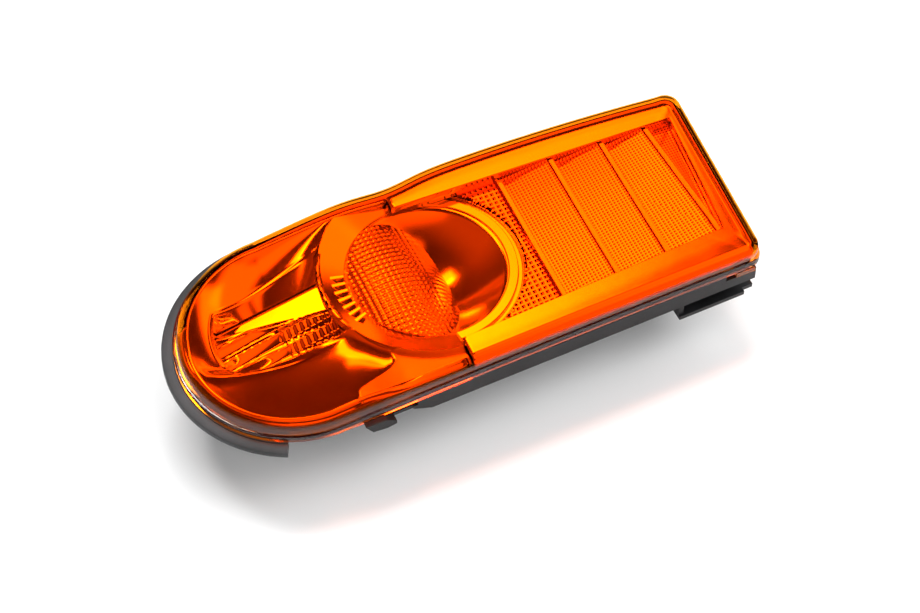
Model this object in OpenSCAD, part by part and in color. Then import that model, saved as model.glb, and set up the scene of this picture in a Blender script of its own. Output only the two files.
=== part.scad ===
/* [Outline] */
// Radius of the round end, measured on the lens flange
end_r = 48; // [44:0.5:56]
// Distance from the round end's centre to the square end
body_l = 190.5; // [183:0.5:215]
// How far the near side draws in along the lamp
near_rise = 8.6; // [4:0.1:11]
// How far the far side bows out past the round end
far_bow = 5.4; // [3:0.1:8]
// Depth of the soft neck in the far side
neck_dip = 2.2; // [0:0.1:3]
// Corner radius of the square end on the near side
near_corner = 7; // [5:0.5:9]
// Corner radius of the square end on the far side
far_corner = 8; // [7:0.5:12]

/* [Lens] */
// Height of the lens shoulder above its flange
lens_h = 11; // [10.5:0.5:16]
// Extra height of the crown over the shoulder
crown = 2; // [0.5:0.1:5]
// Lens wall
lens_t = 2.2; // [1.8:0.1:2.6]
// Thickness of the lens flange
flange_t = 3; // [2:0.1:4]
// Extra draw-in of the shoulder round the round end
end_draft = 3; // [1:0.1:3.4]

/* [Housing] */
// Depth of the tub behind the lens flange
tub_d = 24; // [22:0.5:30]
// Wall of the tub
tub_t = 2.5; // [2:0.1:3.5]
// Height of the four rear bosses below the tub
boss_h = 13; // [12:0.5:20]
// Diameter of a rear boss
boss_d = 13; // [11:0.5:15]
// Distance from the round end's centre to the first pair of rear bosses
boss_in = 22; // [20:0.5:24]
// Distance from the square end to the second pair of rear bosses
boss_end = 32.5; // [31:0.5:38]
// Spacing of the rear bosses across the lamp
boss_dy = 38; // [34:0.5:42]
// Tapped hole of a boss insert
insert_bore = 4.2; // [3:0.1:5]
// Diameter of the rear locating pin
pin_d = 8; // [5:0.5:12]

/* [Optics] */
// Radius of the main lamp's opening
eye_r = 33; // [30:0.5:34]
// Depth of the main bowl
bowl_d = 14.5; // [12:0.5:16]
// Width of the sloping collar on the round end's side
collar_w = 11; // [9:0.5:12]
// Radius of the pillow lens over the turn bulb, seen along the lamp's width
dome_r = 28.5; // [28:0.5:32]
// Length of the marker pocket
pocket_l = 48; // [44:0.5:50]
// Width of the marker pocket
pocket_w = 29; // [24:0.5:30]
// Number of flutes on the marker optic
flutes = 5; // [4:1:7]
// Number of louvred reflex panels
panels = 3; // [2:1:4]
// Rise of each reflex panel
panel_rise = 3.8; // [2:0.1:4]

/* [Mounting rail] */
// Height of the rail's web
rail_h = 8.5; // [7:0.1:10]
// Thickness of the rail
rail_t = 2.2; // [1.8:0.1:2.6]
// Length of the channel bracket
channel_l = 30; // [20:1:40]
// Inside height of the channel bracket
channel_h = 5; // [4.5:0.1:7]

/* [Hidden] */

// Clearances and small overlaps
gap = 0.3;
eps = 0.05;
far_away = 2 * body_l + 200;

// The outline is drawn round the round end's centre, with the lens flange's underside at z = 0
arc_n = 24;
side_n = 12;
end_n = 4;
corner_n = 4;
far_x = 99;
neck_x = 60;
neck_w = 14;
end_lean = 0.05;
corner_min = 1.2;
draft_to = 54;

// Insets from the flange's edge
foot_in = 1;
wall_in = foot_in + lens_t;
rim_in = 1.6;
seat_in = 5.6;
rim_wall = 1.5;
skirt_h = 7.5;

// Heights inside the lamp
rim_z = 7.4;
shelf_z = 4.4;
deck_z = 1;
sheet = 1.8;
eye_z = 1.6;
floor_z = -tub_d + tub_t;
rest_z = -tub_d - boss_h;

// Places of the two lamps
eye = [61.5, 9];
dome = [44, 6];
marker = [-2, 6.5];
pocket_x0 = -26;
collar_r = eye_r + collar_w;
frame_x0 = eye[0] - 2.5;

// The rear screw pattern's centre is the part's origin
boss_dx = body_l - boss_end - boss_in;
pattern = [boss_in + boss_dx / 2, 3];
pin_at = [pattern[0] + 14, -16];
vent_at = [body_l - 72.5, 18];

function ease(t) = let (c = min(1, max(0, t))) c * c * (3 - 2 * c);
function near_y(x) = -end_r + near_rise * (1 - pow(1 - max(x, 0) / (2 * body_l), 2));
function far_y(x) = end_r + far_bow * (1 - pow(1 - max(x, 0) / far_x, 2))
    - neck_dip * exp(-pow((x - neck_x) / neck_w, 2));
function end_x(y) = body_l + end_lean * y;

// Centres of the square end's two corners
near_c = let (y = near_y(body_l - near_corner) + near_corner) [end_x(y) - near_corner, y];
far_c = let (y = far_y(body_l - far_corner) - far_corner) [end_x(y) - far_corner, y];

// Each edge point: centre, radius, direction from the centre, and the way it moves once its radius is used up
edge = concat(
    [for (i = [0:arc_n]) let (a = 90 + 180 * i / arc_n) [0, 0, end_r, cos(a), sin(a), 0, 0]],
    [for (i = [1:side_n - 1]) let (x = near_c[0] * i / side_n) [x, near_y(x), 0, 0, 0, 0, -1]],
    [for (i = [0:corner_n]) let (a = -90 + 90 * i / corner_n)
        [near_c[0], near_c[1], near_corner, cos(a), sin(a), 1, -1]],
    [for (i = [1:end_n - 1]) let (y = near_c[1] + (far_c[1] - near_c[1]) * i / end_n)
        [end_x(y), y, 0, 0, 0, 1, 0]],
    [for (i = [0:corner_n]) let (a = 90 * i / corner_n)
        [far_c[0], far_c[1], far_corner, cos(a), sin(a), 1, 1]],
    [for (i = [1:2 * side_n - 1]) let (x = far_c[0] * (1 - i / (2 * side_n))) [x, far_y(x), 0, 0, 0, 0, 1]]
);

// A point of the outline moved inwards by s
function inset(p, s) =
    let (r = min(p[2], max(p[2] - s, corner_min)), m = s - (p[2] - r))
    [p[0] + r * p[3] - m * p[5], p[1] + r * p[4] - m * p[6]];
// A ring of the outline at height z, inset by d and by up to e more round the round end
function ring(d, e, z) = [for (p = edge)
    let (q = inset(p, d + e * ease((draft_to - p[0] - p[2] * p[3]) / (draft_to + end_r)))) [q[0], q[1], z]];
// The same ring drawn towards the middle line, for the crown
function drawn_in(r, t, z) = [for (p = r)
    let (mx = min(max(p[0], 5), body_l - 40), my = 3) [p[0] + (mx - p[0]) * t, p[1] + (my - p[1]) * t, z]];
function crown_z(t) = crown * (1 - pow(1 - t, 2));

// Skin over rings of equal count, from a face that looks down to one that looks up, or closed on itself
module loft(rings, closed = false) {
    n = len(rings[0]);
    m = len(rings);
    sides = [for (k = [0:closed ? m - 1 : m - 2]) for (i = [0:n - 1])
        let (a = k * n + i, b = k * n + (i + 1) % n, c = (k + 1) % m * n + (i + 1) % n, d = (k + 1) % m * n + i)
        each [[a, d, c], [a, c, b]]];
    ends = closed ? [] : [[for (i = [0:n - 1]) i], [for (i = [n - 1:-1:0]) (m - 1) * n + i]];
    polyhedron(points = [for (r = rings) each r], faces = concat(ends, sides), convexity = 8);
}

module in_frame() {
    translate([-pattern[0], -pattern[1], -rest_z]) children();
}

module area(d) {
    polygon([for (p = edge) inset(p, d)]);
}

// Solid band between two insets
module band(d0, d1, z0, z1) {
    translate([0, 0, z0]) linear_extrude(z1 - z0) difference() {
        area(d0);
        area(d1);
    }
}

// Everything with x between x0 and x1
module slab(x0, x1) {
    translate([x0, -far_away / 2, -far_away / 2]) cube([x1 - x0, far_away, far_away]);
}

// Lens

shoulder_in = foot_in + 2.2;
steps = [0.3, 0.6, 0.88];

module outer_lens() {
    outer = ring(shoulder_in, end_draft, lens_h);
    inner = ring(shoulder_in + lens_t, end_draft, lens_h - lens_t);
    color([0.98, 0.45, 0.05, 0.6]) in_frame() {
        loft(concat(
            [for (i = [2:-1:0]) drawn_in(inner, steps[i], lens_h - lens_t + crown_z(steps[i]))],
            [
                inner,
                ring(wall_in + 0.8, 0.75 * end_draft, lens_h - lens_t - 0.5),
                ring(wall_in + 0.1, 0.4 * end_draft, skirt_h - 1.2),
                ring(wall_in, 0, flange_t),
                ring(wall_in, 0, 0),
                ring(0, 0, 0),
                ring(0, 0, flange_t - 0.4),
                ring(foot_in, 0, flange_t),
                ring(foot_in + 0.1, 0.45 * end_draft, skirt_h),
                ring(foot_in + 0.7, 0.75 * end_draft, lens_h - 1.2),
                outer,
            ],
            [for (i = [0:2]) drawn_in(outer, steps[i], lens_h + crown_z(steps[i]))]
        ));
        lens_wing();
    }
}

// Small tab under the flange at the square end
module lens_wing() {
    wing_x = body_l - 15;
    translate([wing_x, near_y(wing_x) - 0.3, -2.6]) cube([9, rim_in, 2.6 + eps]);
}

// Bead of sealant in the housing's channel under the lens wall

bead_out = rim_in + 0.4;
bead_in = bead_out + 1.1;
bead_h = 1.5;

module lens_bead() {
    color("dimgray") in_frame() band(bead_out, bead_in, -bead_h, 0);
}

// Rear housing

port_h = 2.5;
lug_out = 2;
lug_w = 7;
lugs = 3;
turn_bore = 13.5;
marker_bore = 9;
port_t = 2.5;
post_d = 8;
screw_bore = 2.6;
posts = [[-16, 33, -13], [32, -30, -18], [body_l - 68.5, 30, floor_z - 1], [body_l - 40.5, -16, floor_z - 1]];
rail_posts = [44, body_l - 80.5, body_l - 50.5];
rail_post_d = 4.6;
rail_post_in = 4.9;
rail_post_z = -rail_h + rail_t;
rail_bore_top = -1.6;

module rear_housing() {
    color([0.13, 0.13, 0.14]) in_frame() difference() {
        union() {
            loft([
                ring(20, 0, -tub_d),
                ring(16, 0, -tub_d + 6),
                ring(9, 0, -8),
                ring(4.5, 0, -3.2),
                ring(rim_in, 0, -2.4),
                ring(rim_in, 0, 0),
                ring(bead_out - gap / 2, 0, 0),
                ring(bead_out - gap / 2, 0, -bead_h),
                ring(bead_in + gap / 2, 0, -bead_h),
                ring(bead_in + gap / 2, 0, 0),
                ring(seat_in + rim_wall, 0, 0),
                ring(seat_in + rim_wall, 0, -3),
                ring(9 + tub_t, 0, -8),
                ring(16 + tub_t, 0, floor_z + 4),
                ring(20 + tub_t / 2, 0, floor_z),
            ]);
            at_bosses() cylinder(h = boss_h + 1, d = boss_d, $fn = 48);
            translate([pin_at[0], pin_at[1], rest_z + 3]) locating_pin();
            translate([dome[0], dome[1], -tub_d - port_h])
                cylinder(h = port_h + 1, r = turn_bore + port_t, $fn = 64);
            translate([marker[0], marker[1], -tub_d - port_h])
                cylinder(h = port_h + 1, r = marker_bore + port_t, $fn = 64);
            for (p = posts) translate(p) cylinder(h = post_top(p) - p[2], d = post_d, $fn = 32);
            for (x = rail_posts) translate([x, near_y(x) + rail_post_in, rail_post_z])
                cylinder(h = -3 - rail_post_z, d = rail_post_d, $fn = 32);
            translate([vent_at[0], vent_at[1], -tub_d - 4]) cylinder(h = 5, d = 7, $fn = 32);
        }
        at_bosses() insert_hole();
        port_bore(dome, turn_bore);
        port_bore(marker, marker_bore);
        for (p = posts) translate([p[0], p[1], post_top(p) - 8]) cylinder(h = 9, d = screw_bore, $fn = 24);
        for (x = rail_posts) translate([x, near_y(x) + rail_post_in, rail_post_z - 1])
            cylinder(h = rail_bore_top - rail_post_z + 1, d = screw_bore, $fn = 24);
        translate([vent_at[0], vent_at[1], -tub_d - 5]) cylinder(h = 10, d = 3.5, $fn = 24);
    }
}

// Height of a reflector post's head
function post_top(p) = p[0] < frame_x0 ? -2 : deck_z - sheet;

module at_bosses() {
    for (sx = [-1, 1]) for (sy = [-1, 1])
        translate([pattern[0] + sx * boss_dx / 2, pattern[1] + sy * boss_dy / 2, rest_z]) children();
}

module locating_pin() {
    tip = 1.5;
    rotate_extrude($fn = 48) polygon([
        [0, 0],
        [pin_d / 2 - tip, 0],
        [pin_d / 2, tip],
        [pin_d / 2, boss_h - 2],
        [0, boss_h - 2]
    ]);
}

// Round port with three notches that let the socket's lugs through
module port_bore(at, r) {
    translate([at[0], at[1], -tub_d - port_h - 1]) {
        cylinder(h = port_h + tub_t + 4, r = r, $fn = 64);
        for (i = [0:lugs - 1]) rotate(60 + 360 * i / lugs)
            translate([0, -lug_w / 2 - gap, 0]) cube([r + lug_out + gap, lug_w + 2 * gap, port_h + tub_t + 4]);
    }
}

insert_h = 10;
insert_d = 8;

module insert_hole() {
    translate([0, 0, -1]) cylinder(h = insert_h + 1.5, d = insert_d + 0.1, $fn = 48);
}

module boss_inserts() {
    color("goldenrod") in_frame() at_bosses() difference() {
        cylinder(h = insert_h, d = insert_d, $fn = 48);
        translate([0, 0, -1]) cylinder(h = insert_h + 2, d = insert_bore, $fn = 48);
    }
}

module vent_cap() {
    color([0.1, 0.1, 0.1]) in_frame() translate([vent_at[0], vent_at[1], -tub_d - 6]) difference() {
        union() {
            cylinder(h = 6, d = 11, $fn = 32);
            for (a = [0:60:300]) rotate(a) translate([5, -0.8, 0]) cube([1.6, 1.6, 6 - gap]);
        }
        translate([0, 0, 1.6]) cylinder(h = 5, d = 7.1, $fn = 32);
        for (a = [30, 150, 270]) rotate(a) translate([0, -0.8, 3.6]) cube([8, 1.6, 3]);
    }
}

// Rubber edge seal, a crescent under the round end's flange

seal_out = 4.8;
seal_h = 3.8;
seal_from = 88;
seal_to = 245.5;

module edge_seal() {
    r0 = end_r - rim_in + gap;
    color([0.3, 0.3, 0.31]) in_frame() rotate(seal_from) rotate_extrude(angle = seal_to - seal_from, $fn = 120)
        polygon([
            [r0, 0],
            [end_r + 0.2, 0],
            [end_r + 0.2, -0.8],
            [end_r + seal_out - 0.8, -1.1],
            [end_r + seal_out, -1.9],
            [end_r + seal_out, -seal_h],
            [r0 + 1, -seal_h],
            [r0, -seal_h + 2]
        ]);
}

// Face of the marker optic, sloping up to the bridge

optic_t = 2;
optic_slope = 13;
optic_mid = -2.9;
flute_n = 6;

function optic_z(x) = optic_mid + (x - marker[0]) * tan(optic_slope);

// Reflector

wall_foot = 0.6;
wall_h = 8;
wall_run_left = 2;
wall_run_right = 10;
wall_x0 = pocket_x0 + 6;
wall_fade = 14;
dish_n = 72;
dish_steps = 11;
dish_k = 21;
dish_rim = end_r - seat_in;
collar_edge = collar_r + 0.3;
horn_near = 32;
horn_far = 46;

function horn(y) = horn_near + (horn_far - horn_near) * ease((y + 10) / 30);
// How far a point lies inside the round end's rim, outside the collar and short of the horn, from 0 at each
function in_rim(x, y) = x < 0 ? 1 - (x * x + y * y) / pow(dish_rim, 2)
    : y < 0 ? 1 - pow(y / (near_y(x) + seat_in), 2) : 1 - pow(y / (far_y(x) - seat_in), 2);
function out_collar(x, y) = (pow(x - eye[0], 2) + pow(y - eye[1], 2)) / pow(collar_edge, 2) - 1;
function in_horn(x, y) = (horn(y) - x) / 8;
function in_dish(x, y) = min(in_rim(x, y), out_collar(x, y), in_horn(x, y)) > 0;
function edge_z(x, y) = rim_z - (rim_z - shelf_z) * ease(x / 30) * ease(-y / 20);
function dip_z(x, y) =
    let (a = max(in_rim(x, y), 0.0001), b = max(out_collar(x, y), 0.0001), c = max(in_horn(x, y), 0.0001))
    edge_z(x, y) - dish_k / (1 / a + 1 / b + 1 / c);
// Sloping far wall of the pocket, rising from the optic's edge and less steep towards the bridge
function wall_run(x) = wall_run_left + (wall_run_right - wall_run_left) * ease((x - wall_x0) / 30);
function wall_z(x, y) = y < marker[1] || x < wall_x0 ? far_away
    : optic_z(x) + wall_foot + wall_h * (1 - ease((x - wall_x0) / wall_fade))
        + max(0, y - marker[1] - pocket_w / 2) * wall_h / wall_run(x);
function dish_z(x, y) = min(dip_z(x, y), wall_z(x, y));
// Distance from the marker's centre to the dish's edge, by halving
function reach(a, lo, hi, n) = n == 0 ? lo : let (m = (lo + hi) / 2)
    in_dish(marker[0] + m * cos(a), marker[1] + m * sin(a)) ? reach(a, m, hi, n - 1) : reach(a, lo, m, n - 1);

reaches = [for (i = [0:dish_n - 1]) reach(360 * i / dish_n, 5, 80, 14)];

function dish_ring(t, drop) = [for (i = [0:dish_n - 1])
    let (a = 360 * i / dish_n, x = marker[0] + t * reaches[i] * cos(a), y = marker[1] + t * reaches[i] * sin(a))
    [x, y, dish_z(x, y) - drop]];

// Main bowl's depth at radius r from the eye's centre
function bowl_z(r) = deck_z - bowl_d + bowl_d * pow(r / eye_r, 2);
bowl_n = 12;
bulb_hole = 9.5;

module pocket_area(grow) {
    difference() {
        union() {
            translate([pocket_x0, marker[1] - pocket_w / 2 - grow]) square([pocket_l, pocket_w + 2 * grow]);
            intersection() {
                translate([pocket_x0 + pocket_w * 0.9, marker[1]]) circle(r = pocket_w * 1.02 + grow, $fn = 96);
                translate([pocket_x0 - 6, marker[1] - pocket_w / 2 - grow]) square([12, pocket_w + 2 * grow]);
            }
        }
        translate(eye) circle(r = collar_edge - grow, $fn = 128);
    }
}

module pocket_block(grow, z0, z1) {
    translate([0, 0, z0]) linear_extrude(z1 - z0) pocket_area(grow);
}

chute_t = 1.4;
chute_z = -10.6;

module dish() {
    difference() {
        loft(concat(
            [for (i = [0:dish_steps]) dish_ring(0.05 + 0.95 * i / dish_steps, sheet)],
            [for (i = [dish_steps:-1:0]) dish_ring(0.05 + 0.95 * i / dish_steps, 0)]
        ));
        pocket_block(0, -30, 30);
    }
}

// Walls round the marker pocket, cut along the dish's own surface
module chute() {
    difference() {
        pocket_block(chute_t, chute_z, rim_z - 1);
        pocket_block(0, chute_z - 1, rim_z);
        loft(concat(
            [for (i = [0:dish_steps]) dish_ring(0.05 + 0.98 * i / dish_steps, 0.9)],
            [for (i = [dish_steps:-1:0]) dish_ring(0.05 + 0.98 * i / dish_steps, -30)]
        ));
    }
}

// Sloping collar between the round end's dish and the main bowl
module collar() {
    intersection() {
        translate([eye[0], eye[1], 0]) rotate(93) rotate_extrude(angle = 174, $fn = 96) polygon([
            [eye_r, eye_z],
            [collar_r, rim_z],
            [collar_r, shelf_z - 2],
            [collar_r - 1.4, shelf_z - 2],
            [collar_r - 1.4, rim_z - sheet - 0.4],
            [eye_r + 2, eye_z - sheet],
            [eye_r, eye_z - sheet]
        ]);
        translate([0, 0, -30]) linear_extrude(60) area(seat_in + 0.1);
    }
}

// Low fluted bridge where the pocket meets the collar
bridge_half = asin(pocket_w / 2 / (collar_r - 2));
bridge_at = 180 + asin((eye[1] - marker[1]) / collar_r);
bridge_ribs = 7;

module bridge() {
    translate([eye[0], eye[1], 0]) {
        rotate(bridge_at - bridge_half) rotate_extrude(angle = 2 * bridge_half, $fn = 96) polygon([
            [eye_r, eye_z],
            [collar_r - 0.6, eye_z + 1.6],
            [collar_r - 0.6, eye_z - 0.4],
            [eye_r, eye_z - sheet]
        ]);
        for (i = [0:bridge_ribs - 1])
            rotate(bridge_at - bridge_half + 2 * bridge_half * (i + 0.5) / bridge_ribs)
                translate([eye_r + 0.6, -0.6, eye_z - 0.6]) cube([collar_w - 2, 1.2, 2.6]);
    }
}

module bridge_cut() {
    translate([eye[0], eye[1], 0]) rotate(bridge_at - bridge_half) rotate_extrude(angle = 2 * bridge_half, $fn = 96)
        translate([eye_r + 0.4, -5]) square([collar_w + 4, 20]);
}

// Main bowl with its rim, groove and second ridge
ring_w = 3.8;
ring2_r = eye_r + 7.3;

module bowl() {
    translate([eye[0], eye[1], 0]) rotate_extrude($fn = 96) polygon(concat(
        [for (i = [0:bowl_n]) let (r = eye_r * i / bowl_n) [r, bowl_z(r)]],
        [
            [eye_r + 0.3, eye_z],
            [eye_r + ring_w, eye_z],
            [eye_r + ring_w + 0.4, eye_z - 0.5],
            [eye_r + ring_w + 0.6, eye_z - 1.4],
            [ring2_r - 1.8, eye_z - 1.4],
            [ring2_r - 1.4, eye_z - 0.4],
            [ring2_r - 0.4, eye_z - 0.4],
            [ring2_r, eye_z - 0.8],
            [ring2_r, deck_z - sheet]
        ],
        [for (i = [bowl_n:-1:0]) let (r = eye_r * i / bowl_n) [r, bowl_z(r) - sheet]]
    ));
}

module reflector() {
    color([0.86, 0.87, 0.88]) in_frame() difference() {
        union() {
            dish();
            chute();
            intersection() {
                difference() {
                    collar();
                    bridge_cut();
                }
                slab(-far_away / 2, frame_x0 - gap);
            }
            bridge();
            intersection() {
                bowl();
                translate([0, 0, -30]) linear_extrude(60) area(seat_in + 1.6);
            }
            shelf();
            deck();
        }
        translate([dome[0], dome[1], -30]) cylinder(h = 28, r = bulb_hole, $fn = 48);
        for (p = posts) translate([p[0], p[1], post_top(p) - 1]) cylinder(h = 2.6 + sheet, d = 3.4, $fn = 24);
    }
}

// Rim wall and near shelf beside the dish
module shelf() {
    intersection() {
        union() {
            difference() {
                translate([0, 0, shelf_z - sheet]) linear_extrude(sheet) area(seat_in);
                translate([0, 0, -10]) linear_extrude(30)
                    polygon([for (p = dish_ring(0.97, 0)) [p[0], p[1]]]);
                translate([eye[0], eye[1], -10]) cylinder(h = 30, r = collar_r - 1, $fn = 96);
                pocket_block(0, -30, 30);
            }
            band(seat_in, seat_in + 1.2, 0, shelf_z - 0.4);
            difference() {
                band(seat_in, seat_in + 1.2, 0, rim_z - 1);
                translate([10, -far_away / 2, shelf_z - 1]) cube([far_away, far_away / 2, far_away]);
                translate([38, 0, shelf_z - 1]) cube(far_away);
            }
            for (p = [posts[0], posts[1]]) translate([p[0], p[1], post_top(p)])
                cylinder(h = 4, d = post_d - 1, $fn = 32);
        }
        slab(-far_away / 2, frame_x0 - gap);
    }
}

// Plain deck behind the reflex insert
module deck() {
    difference() {
        intersection() {
            translate([0, 0, deck_z - sheet]) linear_extrude(sheet) area(seat_in + 2.4);
            slab(frame_x0, far_away / 2);
        }
        translate([eye[0], eye[1], -10]) cylinder(h = 30, r = ring2_r - 0.5, $fn = 96);
    }
}

// Self-tapping screws: shank diameter, shank length, head diameter and head height
screw_d = 2.4;
deck_screw = [screw_d, 7, 5, 1.1];
post_screw = [screw_d, 6, 3.2, 0.5];
rail_screw = [screw_d, 6, 5, 1.6];

// Screw with its shank's tip at the origin and its head up
module screw(size) {
    cylinder(h = size[1] + eps, d = size[0], $fn = 24);
    translate([0, 0, size[1]]) cylinder(h = size[3], d = size[2], $fn = 24);
}

module reflector_screws() {
    color("silver") in_frame() for (p = [posts[2], posts[3]])
        translate([p[0], p[1], deck_z - deck_screw[1]]) screw(deck_screw);
    color("silver") in_frame() for (p = [posts[0], posts[1]])
        translate([p[0], p[1], post_top(p) - post_screw[1]]) screw(post_screw);
}

// Bezel frame round the reflex area

window_near = [-31, -24];
window_far = [39.5, 36.5];
window_end = [body_l - 13, body_l - 7.5];
bezel_in = 6.4;
bezel_t = 1.4;

module window(grow) {
    polygon([
        [frame_x0 - 30, window_near[0] - grow],
        [frame_x0, window_near[0] - grow],
        [window_end[0] + grow, window_near[1] - grow],
        [window_end[1] + grow, window_far[1] + grow],
        [frame_x0, window_far[0] + grow],
        [frame_x0 - 30, window_far[0] + grow]
    ]);
}

module bezel_frame() {
    wall_t = 1.2;
    color([0.85, 0.85, 0.86]) in_frame() intersection() {
        union() {
            loft([
                ring(seat_in + 1.3, 0, 0),
                ring(seat_in, 0, 0),
                ring(bezel_in, 0, rim_z - 0.5),
                ring(bezel_in + 0.6, 0, rim_z),
                ring(bezel_in + 1.6, 0, rim_z - bezel_t / 2),
                ring(bezel_in + 1.3, 0, rim_z - bezel_t)
            ], closed = true);
            translate([0, 0, rim_z - bezel_t]) linear_extrude(bezel_t) difference() {
                area(bezel_in + 0.6);
                window(0);
            }
            translate([0, 0, deck_z]) linear_extrude(rim_z - deck_z - eps) difference() {
                window(wall_t);
                window(0);
                translate(eye) circle(r = ring2_r + gap, $fn = 96);
            }
        }
        slab(frame_x0, far_away / 2);
    }
}

// Louvred reflex insert

rib_w = 2.2;
strip_z = deck_z + 1.2;
panel_x0 = 108.2;
panel_x1 = window_end[0] - 2;
panel_pitch = (panel_x1 - panel_x0) / panels;

// Sawtooth section along the lamp: each panel climbs to a flat rib and drops to the next
function saw() = [for (i = [0:panels - 1]) let (x = panel_x0 + i * panel_pitch) each [
    [x, strip_z],
    [x + panel_pitch - rib_w, strip_z + panel_rise],
    [x + panel_pitch - eps, strip_z + panel_rise]
]];

module reflex_insert() {
    color([1, 0.62, 0.1]) in_frame() difference() {
        intersection() {
            translate([0, far_away / 2, 0]) rotate([90, 0, 0]) linear_extrude(far_away) polygon(concat(
                [[frame_x0, deck_z], [frame_x0, strip_z], [panel_x0 - rib_w - 0.6, strip_z]],
                [[panel_x0 - rib_w, strip_z + 1], [panel_x0 - eps, strip_z + 1]],
                saw(),
                [[panel_x1, strip_z + 1], [far_away, strip_z + 1], [far_away, deck_z]]
            ));
            translate([0, 0, deck_z]) linear_extrude(20) window(-gap);
        }
        translate([eye[0], eye[1], -10]) cylinder(h = 40, r = ring2_r + gap, $fn = 96);
        for (p = [posts[2], posts[3]]) translate([p[0], p[1], 0]) cylinder(h = deck_z + 1.4, d = 5.8, $fn = 24);
    }
}

// Barrel-shaped pillow lens over the turn bulb, seated on the bowl

dome_top = 4.5;
dome_t = 2;
dome_sweep = 185;
dome_span = 30;
dome_half = 75;
dome_n = 20;

// Points of the barrel's section, seen from its sweep axis
function dome_arc(r, way) = [for (i = [0:dome_n]) let (a = way * dome_half * (2 * i / dome_n - 1))
    [dome_sweep - dome_r + r * cos(a), r * sin(a)]];

module inner_lens() {
    color([1, 0.8, 0.45, 0.7]) in_frame() difference() {
        intersection() {
            translate([dome[0], dome[1], dome_top - dome_sweep]) rotate([0, 90, 0]) rotate(180 - dome_span / 2)
                rotate_extrude(angle = dome_span, $fn = 240)
                    polygon(concat(dome_arc(dome_r, 1), dome_arc(dome_r - dome_t, -1)));
            translate([eye[0], eye[1], -40]) cylinder(h = 60, r = eye_r, $fn = 96);
        }
        translate([eye[0], eye[1], 0]) rotate_extrude($fn = 96) polygon(concat(
            [[0, -60]],
            [for (i = [0:bowl_n]) let (r = eye_r * i / bowl_n) [r, bowl_z(r)]],
            [[eye_r + 2, deck_z], [eye_r + 2, -60]]
        ));
    }
}

// Fluted marker optic

module marker_optic() {
    pitch = pocket_w / flutes;
    color([1, 0.75, 0.35, 0.8]) in_frame() intersection() {
        pocket_block(-gap, -20, 20);
        translate([marker[0], marker[1], optic_mid]) rotate([0, -optic_slope, 0]) rotate([90, 0, 90])
            translate([0, 0, -pocket_l]) linear_extrude(2 * pocket_l) polygon(concat(
                [[-pocket_w / 2, -optic_t]],
                [for (i = [0:flutes - 1]) for (j = [0:flute_n - 1])
                    [-pocket_w / 2 + pitch * (i + j / flute_n), 1.6 * sin(180 * j / flute_n)]],
                [[pocket_w / 2, 0], [pocket_w / 2, -optic_t]]
            ));
    }
}

// Bulbs, sockets, gaskets and contacts of both lamps

seat_z = floor_z + 2.2;
gasket_h = 1.2;
socket_z = -tub_d - port_h - gasket_h;
grip_z = rest_z + 0.5;
slot_h = 6.5;
shroud_l = 15;
shroud_t = 1.6;
blade_l = 7;

// Wedge-base bulb standing on its socket
module bulb(r, top, base) {
    translate([0, 0, seat_z]) rotate_extrude($fn = 48) polygon(concat(
        [[0, 0], [r * 0.72, 0], [r, 3]],
        [for (i = [0:6]) let (a = 90 * i / 6) [r * cos(a), top - seat_z - r * 0.9 * (1 - sin(a))]]
    ));
    translate([-base[0] / 2, -base[1] / 2, seat_z - slot_h + 0.6]) cube([base[0], base[1], slot_h]);
}

// Quarter-turn socket with its lugs, flange and grip, and a connector shroud that points along turn
module socket(r, base, w, turn) {
    shroud_h = socket_z - gap - grip_z;
    plug_r = r - 0.5;
    difference() {
        union() {
            translate([0, 0, socket_z - eps]) cylinder(h = seat_z - gap - socket_z, r = plug_r, $fn = 64);
            for (i = [0:lugs - 1]) rotate(360 * i / lugs)
                translate([plug_r - 1, -lug_w / 2, floor_z + gap]) cube([lug_out + 1, lug_w, 1.5]);
            translate([0, 0, socket_z - 2.4]) cylinder(h = 2.4, r = r + port_t, $fn = 64);
            translate([0, 0, grip_z]) cylinder(h = socket_z - 2 - grip_z, r = plug_r * 0.8, $fn = 48);
            rotate(turn) translate([0, -w / 2, grip_z]) cube([r + port_t + shroud_l, w, shroud_h]);
        }
        translate([-base[0] / 2 - gap, -base[1] / 2 - gap, seat_z - slot_h + 0.2]) cube([
            base[0] + 2 * gap,
            base[1] + 2 * gap,
            slot_h + 1
        ]);
        rotate(turn) translate([r + port_t, -w / 2 + shroud_t, grip_z + shroud_t])
            cube([shroud_l + 1, w - 2 * shroud_t, shroud_h - 2 * shroud_t]);
    }
}

module gasket(r) {
    translate([0, 0, socket_z]) difference() {
        cylinder(h = gasket_h, r = r + port_t - 0.2, $fn = 64);
        translate([0, 0, -1]) cylinder(h = gasket_h + 2, r = r + 0.2, $fn = 64);
    }
}

// Flat blades at the back of the connector shroud
module contacts(r, count, turn) {
    pitch = 4.2;
    mid_z = (grip_z + socket_z - gap) / 2;
    rotate(turn) for (i = [0:count - 1])
        translate([r + port_t, (i - (count - 1) / 2) * pitch - 1.2, mid_z - 0.4]) cube([blade_l, 2.4, 0.8]);
}

// Width and depth of each bulb's base, width of its connector, and its glass's radius and top
turn_base = [14, 5];
marker_base = [9, 3.6];
turn_w = 17;
marker_w = 12;
turn_glass = [7.6, dome_top - dome_t - 1.4];
marker_glass = [5, -6.2];

module turn_bulb() {
    color([0.95, 0.6, 0.2, 0.7]) in_frame() translate(dome) bulb(turn_glass[0], turn_glass[1], turn_base);
}

module turn_socket() {
    color([0.16, 0.16, 0.17]) in_frame() translate(dome) socket(turn_bore, turn_base, turn_w, 0);
}

module turn_gasket() {
    color([0.25, 0.12, 0.1]) in_frame() translate(dome) gasket(turn_bore);
}

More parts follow.
